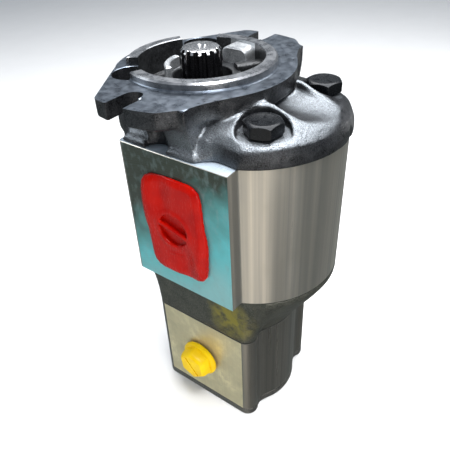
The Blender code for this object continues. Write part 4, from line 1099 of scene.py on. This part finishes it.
def make_hex_bolt(number, centre):
    """Hexagon screw: chamfered corners, a washer face and a slightly dished top."""
    node = "front_hex_bolt_" + str(number)
    end, top = span(node)
    seat = top - HEAD_HEIGHT
    corner = HEAD_FLATS / math.sqrt(3)
    turn = 13.0 * number
    hexagon = []
    for index in range(6):
        angle = math.radians(turn + 60.0 * index)
        hexagon += [(corner * math.cos(angle + d), corner * math.sin(angle + d))
                    for d in (-0.02, 0.02)]
    bolt = prism("hex_bolt_" + str(number), hexagon, seat + 0.9, top)
    flat = HEAD_FLATS / 2
    crown = [(0.0, seat), (flat - 0.2, seat), (corner + 0.5, seat + 2.0), (corner + 0.5, top - 1.9),
             (corner - 0.9, top - 0.9), (flat - 0.6, top - 0.18), (flat - 1.7, top),
             (flat - 3.0, top - 0.25), (0.0, top - 0.35)]
    combine(bolt, turned("crown", crown, 72), "INTERSECT")
    shank = [(0.0, end), (6.0, end), (7.0, end + 1.0), (7.0, seat - 0.2), (9.6, seat),
             (9.9, seat + 0.3), (9.9, seat + 1.2), (0.0, seat + 1.2)]
    join(bolt, turned("shank", shank, 48))
    for angle in (90.0, 210.0, 330.0):
        mark = prism("mark", rectangle(3.2, 7.0, -0.35, 0.35), top - 0.8, top - 0.05)
        join(bolt, spun(mark, angle + turn))
    bolt.data.transform(Matrix.Translation((centre[0] * MM, centre[1] * MM, 0.0)))
    finish_piece(bolt, "black_fastener", node, BLACK_OXIDE)


# ---------------------------------------------------------------- bodies

def pick_port_sides(half_width, centres, normals):
    """One for each face of the two flat port sides, nought for the rest."""
    outermost = np.abs(centres[:, 0]) > half_width - 0.05
    return (outermost & (np.abs(normals[:, 0]) > 0.98)).astype(int)


def make_front_body():
    body = prism("front_body_block", front_body_outline(), BODY_BOTTOM, BODY_TOP, 0.35, 0.35)
    below = BODY_BOTTOM - BEYOND
    above = BODY_TOP + BEYOND
    bores = [(0.0, 0.0), (0.0, -FRONT_CENTRE_DISTANCE)]
    cut_holes(body, bores, FRONT_BORE_RADIUS, below, above, 96)
    cut_holes(body, BOLT_PLACES, BOLT_HOLE_RADIUS, below, above, 48)
    for side in (1, -1):
        port = countersunk((0.0, 0.0), FRONT_PORT_RADIUS, -54.0, 0.0, 0.5, 72)
        cut(body, lay_along_x(port, side, FRONT_PORT_Y, FRONT_PORT_Z, PORT_FACE))
        for y in (FRONT_PORT_Y - HOSE_SCREW_Y, FRONT_PORT_Y + HOSE_SCREW_Y):
            for z in (FRONT_PORT_Z - HOSE_SCREW_Z, FRONT_PORT_Z + HOSE_SCREW_Z):
                hole = countersunk((0.0, 0.0), HOSE_SCREW_RADIUS, -18.0, 0.0, 0.3, 24)
                cut(body, lay_along_x(hole, side, y, z, PORT_FACE))

    def choose(centres, normals):
        picks = pick_port_sides(PORT_FACE, centres, normals)
        picks[np.abs(normals[:, 2]) > 0.9] = 2
        return picks

    finish_piece(body, "body_aluminium", "front_pump_body", BODY_METAL, PORT_METAL,
                 TOP_METAL, choose=choose)


def make_adaptor():
    """Casting between the pumps, narrowing from the front body to the rear body."""
    low = (-60.0, -110.0, ADAPTOR_BOTTOM - 2.1)
    high = (60.0, 62.0, ADAPTOR_TOP + 3.0)
    step = 1.2
    x, y, z = grid_axes(low, high, step)
    top = outline_distance(adaptor_top_outline(), x, y)
    bottom = outline_distance(rear_body_outline(), x, y)
    share = np.clip((z - ADAPTOR_BOTTOM - 1.0) / (ADAPTOR_TOP - 6.0 - ADAPTOR_BOTTOM), 0.0, 1.0)
    share = share * 0.85 + 0.15 * share * share * (3 - 2 * share)
    field = top * share + bottom * (1 - share)
    field = np.maximum(field * 0.9, np.abs(x) - REAR_HALF_WIDTH)
    field = np.maximum(field, ADAPTOR_BOTTOM - z)
    field = soft_overlap(field, z - ADAPTOR_TOP, 1.0)
    body = surface("adaptor_casting", field, low, step)
    below = ADAPTOR_BOTTOM - BEYOND
    above = ADAPTOR_TOP + BEYOND
    axis = (0.0, 0.0)
    cut(body, prism("foot", rectangle(-90, 90, -130, 90), below, ADAPTOR_BOTTOM + 0.02))
    cut(body, cylinder(axis, COUPLING_BORE_RADIUS, COUPLING_FLOOR, above))
    cut(body, cylinder(axis, TAIL_BORE_RADIUS, below, COUPLING_FLOOR + 2.6, 48))
    cut_holes(body, BOLT_PLACES, BOLT_HOLE_RADIUS, BOLT_END - 2.0, above, 48)
    cut_holes(body, SCREW_PLACES, SCREW_HOLE_RADIUS, below, ADAPTOR_BOTTOM + 20.6, 32)
    finish_piece(body, "cast_adaptor", "adaptor_housing", CAST_OLIVE)


def make_rear_body():
    body = prism("rear_body_block", rear_body_outline(), REAR_BOTTOM, REAR_TOP, 0.3, 0.3)
    below = REAR_BOTTOM - BEYOND
    above = REAR_TOP + BEYOND
    bores = [(0.0, 0.0), (0.0, -REAR_CENTRE_DISTANCE)]
    cut_holes(body, bores, REAR_BORE_RADIUS, below, above, 72)
    cut_holes(body, SCREW_PLACES, SCREW_HOLE_RADIUS, below, above, 32)
    for side in (1, -1):
        port = countersunk((0.0, 0.0), REAR_PORT_RADIUS, -38.0, 0.0, 0.6, 56)
        cut(body, lay_along_x(port, side, REAR_PORT_Y, REAR_PORT_Z, REAR_HALF_WIDTH))

    def choose(centres, normals):
        return pick_port_sides(REAR_HALF_WIDTH, centres, normals)

    finish_piece(body, "body_aluminium", "rear_pump_body", REAR_BODY_METAL, REAR_METAL,
                 choose=choose)


def make_rear_cover():
    cover = prism("rear_cover_plate", rear_body_outline(), 0.0, REAR_COVER_TOP, 0.8, 0.5)
    for centre in SCREW_PLACES:
        sink = [(0.0, -1.5), (SCREW_HEAD_RADIUS, -1.5), (SCREW_HOLE_RADIUS, 3.9),
                (SCREW_HOLE_RADIUS, REAR_COVER_TOP + BEYOND), (0.0, REAR_COVER_TOP + BEYOND)]
        cut(cover, turned("sink", sink, 36, centre))
    finish_piece(cover, "cast_cover_rear", "rear_cover", CAST_GREY)


# ---------------------------------------------------------------- plugs

SIDE_NAMES = {1: "right", -1: "left"}


def red_outline():
    """Outline of the port cover, seen along the port; it is the same turned by half a turn."""
    half = [(-23.4, -30.0), (-22.0, -34.6), (-18.6, -37.6), (-14.0, -38.8), (-2.0, -39.0),
            (9.0, -38.6), (17.0, -37.4), (21.6, -35.0), (24.4, -31.0), (25.6, -25.0),
            (26.4, -15.0), (26.7, -6.0), (26.2, 1.0), (25.0, 7.0), (24.4, 14.0), (24.0, 22.0)]
    return half + [(-x, -y) for x, y in half]


def make_red_plug(side):
    """Moulded cover: a twisted plate with raised finger edges and a round grip recess."""
    low = (-29.0, -41.5, -1.05)
    high = (29.0, 41.5, 9.0)
    step = 0.5
    x, y, z = grid_axes(low, high, step)
    edge = outline_distance(red_outline(), x, y)
    ease = np.clip(-edge / 5.0, 0.0, 1.0)
    rim = 1.0 - ease * ease * (3 - 2 * ease)

    def lift(u, v):
        along = np.exp(-((v - 17.0) / 17.0) ** 2)
        across = np.exp(-((u - 20.0) / 6.5) ** 2)
        valley = np.exp(-((u - 8.0) / 7.0) ** 2) * np.exp(-((v - 26.0) / 15.0) ** 2)
        return 2.3 * along * across - 2.2 * valley

    top = 3.6 + lift(-x, y) + lift(x, -y) - 1.2 * rim
    centre = np.hypot(x, y)
    top = top + 0.8 * np.exp(-((centre - 13.4) / 2.2) ** 2)
    field = soft_overlap(edge + 0 * z, (z - top) * 0.95, 1.6)
    dish = np.maximum(centre - 11.9 + 0 * z, 1.1 - z)
    field = soft_cut(field, dish, 0.7)
    angle = math.radians(-14.0)
    across = -x * math.sin(angle) + y * math.cos(angle)
    bar = np.maximum(np.abs(across) - 1.5, centre - 12.4)
    bar = soft_overlap(bar + 0 * z, z - 4.7, 1.2)
    field = soft_join(field, bar, 0.8)
    mark = np.maximum(np.abs(x + 0.5) - 7.0, np.abs(y + 20.0) - 0.35)
    mark = np.maximum(mark + 0 * z, z - top - 0.35)
    field = np.minimum(field, np.maximum(mark, 1.0 - z))
    field = np.maximum(field, 0.3 - z)
    plug = surface("front_port_cover_" + SIDE_NAMES[side], field, low, step)
    stem = FRONT_PORT_RADIUS - 0.5
    join(plug, cylinder((0.0, 0.0), stem, -12.0, 1.2))
    cut(plug, cylinder((0.0, 0.0), stem - 1.8, -14.0, 0.7))
    lay_along_x(spun(plug, side * 90.0), side, FRONT_PORT_Y, FRONT_PORT_Z, PORT_FACE)
    finish_piece(plug, "red_plastic", "front_port_plug_" + SIDE_NAMES[side], RED_PLASTIC)


COLLAR_DRAWN_RADIUS = 14.6


def make_yellow_plug(side):
    """Screw plug: a bevelled collar, a tapering six-sided grip and a driver slot."""
    node = "rear_port_plug_" + SIDE_NAMES[side]
    low, high = span(node)
    wide = (high - low) / 2 - 0.1
    scale = wide / COLLAR_DRAWN_RADIUS
    collar = [(0.0, -11.0), (9.0, -11.0), (10.0, -10.0), (10.0, -0.2), (9.0, 0.2), (9.0, 1.6),
              (wide - 1.2, 1.6), (wide - 0.4, 2.0), (wide, 2.8), (wide - 0.2, 4.2),
              (wide - 1.3, 5.4), (wide - 2.6, 5.9), (0.0, 5.9)]
    plug = turned("tool", collar, 96)
    sections = []
    for height, radius in ((4.8 / scale, 12.7), (9.8, 12.1), (12.0, 11.3), (13.1, 10.1)):
        ring = []
        for corner in range(6):
            for turn, share in ((-0.09, 0.985), (0.0, 1.0), (0.09, 0.985)):
                angle = math.radians(60.0 * corner + 8.0) + turn
                reach = radius * scale * share
                ring.append((reach * math.cos(angle), reach * math.sin(angle)))
        sections.append((height * scale, ring))
    join(plug, loft("grip", sections))
    reach = 8.6 * scale
    slot = prism("slot", rectangle(-reach, reach, -0.85, 0.85), 11.1 * scale, 20.0)
    cut(plug, spun(slot, 38.0))
    lay_along_x(plug, side, REAR_PORT_Y, REAR_PORT_Z, REAR_HALF_WIDTH)
    plug.name = "rear_port_screw_plug_" + SIDE_NAMES[side]
    finish_piece(plug, "yellow_plastic", node, YELLOW_PLASTIC)


# ---------------------------------------------------------------- carried-over nodes

def dress_nodes():
    """Give every node that is still shown a worked-out material."""
    by_slot = {"cast_cover": CAST_BLACK, "cast_adaptor": CAST_OLIVE, "cast_cover_rear": CAST_GREY,
               "body_aluminium": BODY_METAL, "block_aluminium": BLOCK_METAL, "gear_steel": STEEL,
               "spring_steel": SPRING_STEEL, "dowel_steel": DOWEL_STEEL,
               "black_fastener": BLACK_OXIDE, "bearing_bronze": BRONZE, "seal_rubber": RUBBER,
               "red_plastic": RED_PLASTIC, "yellow_plastic": YELLOW_PLASTIC}
    for part in frame["record"]["subparts"]:
        node = frame["nodes"][part["node"]]
        node.data.materials.clear()
        node.data.materials.append(by_slot[part["material_slot"]])


# ---------------------------------------------------------------- studio

CAMERA_PLACE = (-0.2623, -0.21699, 0.40027)
CAMERA_ANGLES = (-52.11, 36.16, -2.86)
CAMERA_LENS = 40.96


def make_floor():
    finish = Finish("studio_floor", 0.0, 0.55)
    cloud = finish.ramp(finish.noise(60.0, 3.0), (0.3, 0.86), (0.7, 0.88))
    finish.set("Base Color", cloud)
    corners = [(x, y, -0.05) for x, y in rectangle(-4000, 4000, -4000, 4000)]
    floor = make_object("studio_floor", corners, [(0, 1, 2, 3)])
    floor.data.materials.append(finish.material)
    floor.visible_glossy = False


def add_light(name, location, target, width, height, power, colour=(1.0, 1.0, 1.0)):
    light = bpy.data.lights.new(name, "AREA")
    light.shape = "RECTANGLE"
    light.size = width
    light.size_y = height
    light.energy = power
    light.color = colour
    made = place(name, light)
    made.location = location
    direction = Vector(target) - Vector(location)
    made.rotation_euler = direction.to_track_quat("-Z", "Y").to_euler()


def make_studio():
    make_floor()
    centre = (0.0, -0.02, 0.18)
    add_light("overhead", (0.4, 0.05, 1.15), centre, 1.1, 0.8, 19.0)
    add_light("crown", (-0.17, -0.36, 1.12), (-0.04, -0.09, 0.26), 0.34, 0.3, 11.0)
    add_light("back_left", (-0.5, 0.9, 0.8), centre, 0.4, 0.4, 3.0, (0.93, 0.97, 1.0))
    add_light("front_strip", (-0.52, -0.74, 0.2), centre, 0.12, 0.5, 3.0, (1.0, 0.95, 0.88))
    add_light("right_strip", (1.0, -0.35, 0.25), centre, 0.2, 0.5, 1.0)
    make_world()
    bpy.context.scene.view_settings.view_transform = "Standard"


def make_world():
    """Dim surroundings, a little brighter above, with soft glows below the horizon."""
    world = bpy.data.worlds.new("studio")
    bpy.context.scene.world = world
    world.use_nodes = True
    graph = Graph(world.node_tree)

    def glow(direction, start, end, low, high):
        """A colour that goes from low to high as the view turns towards the direction."""
        turn = graph.node("VectorMath", operation="DOT_PRODUCT")
        graph.link(graph.places["Generated"], turn.inputs[0])
        graph.link(direction, turn.inputs[1])
        share = graph.node("MapRange", interpolation_type="SMOOTHSTEP")
        graph.link(turn.outputs["Value"], share.inputs["Value"])
        graph.link(start, share.inputs["From Min"])
        graph.link(end, share.inputs["From Max"])
        return graph.mix(share.outputs["Result"], low, high)

    black = (0.0, 0.0, 0.0)
    light = glow((0.0, 0.0, 1.0), -0.45, 0.8, (0.15, 0.165, 0.165), (0.3, 0.33, 0.37))
    for direction, start, colour in (((-0.74, -0.32, -0.59), 0.86, (1.05, 0.96, 0.84)),
                                     ((-0.64, 0.5, -0.59), 0.72, (0.26, 0.3, 0.3)),
                                     ((0.75, 0.3, -0.59), 0.8, (0.04, 0.05, 0.05))):
        light = graph.mix(1.0, light, glow(direction, start, 1.0, black, colour), "ADD")
    background = graph.tree.nodes["Background"]
    graph.link(light, background.inputs["Color"])
    graph.link(1.0, background.inputs["Strength"])


def make_camera():
    """A view from the idler side and a little above, rolled slightly."""
    azimuth, elevation, roll = [math.radians(angle) for angle in CAMERA_ANGLES]
    flat = math.cos(elevation)
    back = Vector((math.sin(azimuth) * flat, -math.cos(azimuth) * flat, math.sin(elevation)))
    right = Vector((0.0, 0.0, 1.0)).cross(back).normalized()
    up = back.cross(right)
    turned_right = right * math.cos(roll) + up * math.sin(roll)
    turned_up = up * math.cos(roll) - right * math.sin(roll)
    camera = bpy.data.cameras.new("camera")
    camera.lens = CAMERA_LENS
    camera.sensor_width = 36.0
    camera.clip_start = 0.01
    camera.clip_end = 50.0
    made = place("camera", camera)
    axes = Matrix((turned_right, turned_up, back)).transposed().to_4x4()
    made.matrix_world = Matrix.Translation(CAMERA_PLACE) @ axes
    bpy.context.scene.camera = made


dress_nodes()
make_cover()
make_shaft()
for index, bolt_centre in enumerate(BOLT_PLACES, start=1):
    make_hex_bolt(index, bolt_centre)
make_front_body()
make_adaptor()
make_rear_body()
make_rear_cover()
for port_side in (1, -1):
    make_red_plug(port_side)
    make_yellow_plug(port_side)
make_studio()
make_camera()
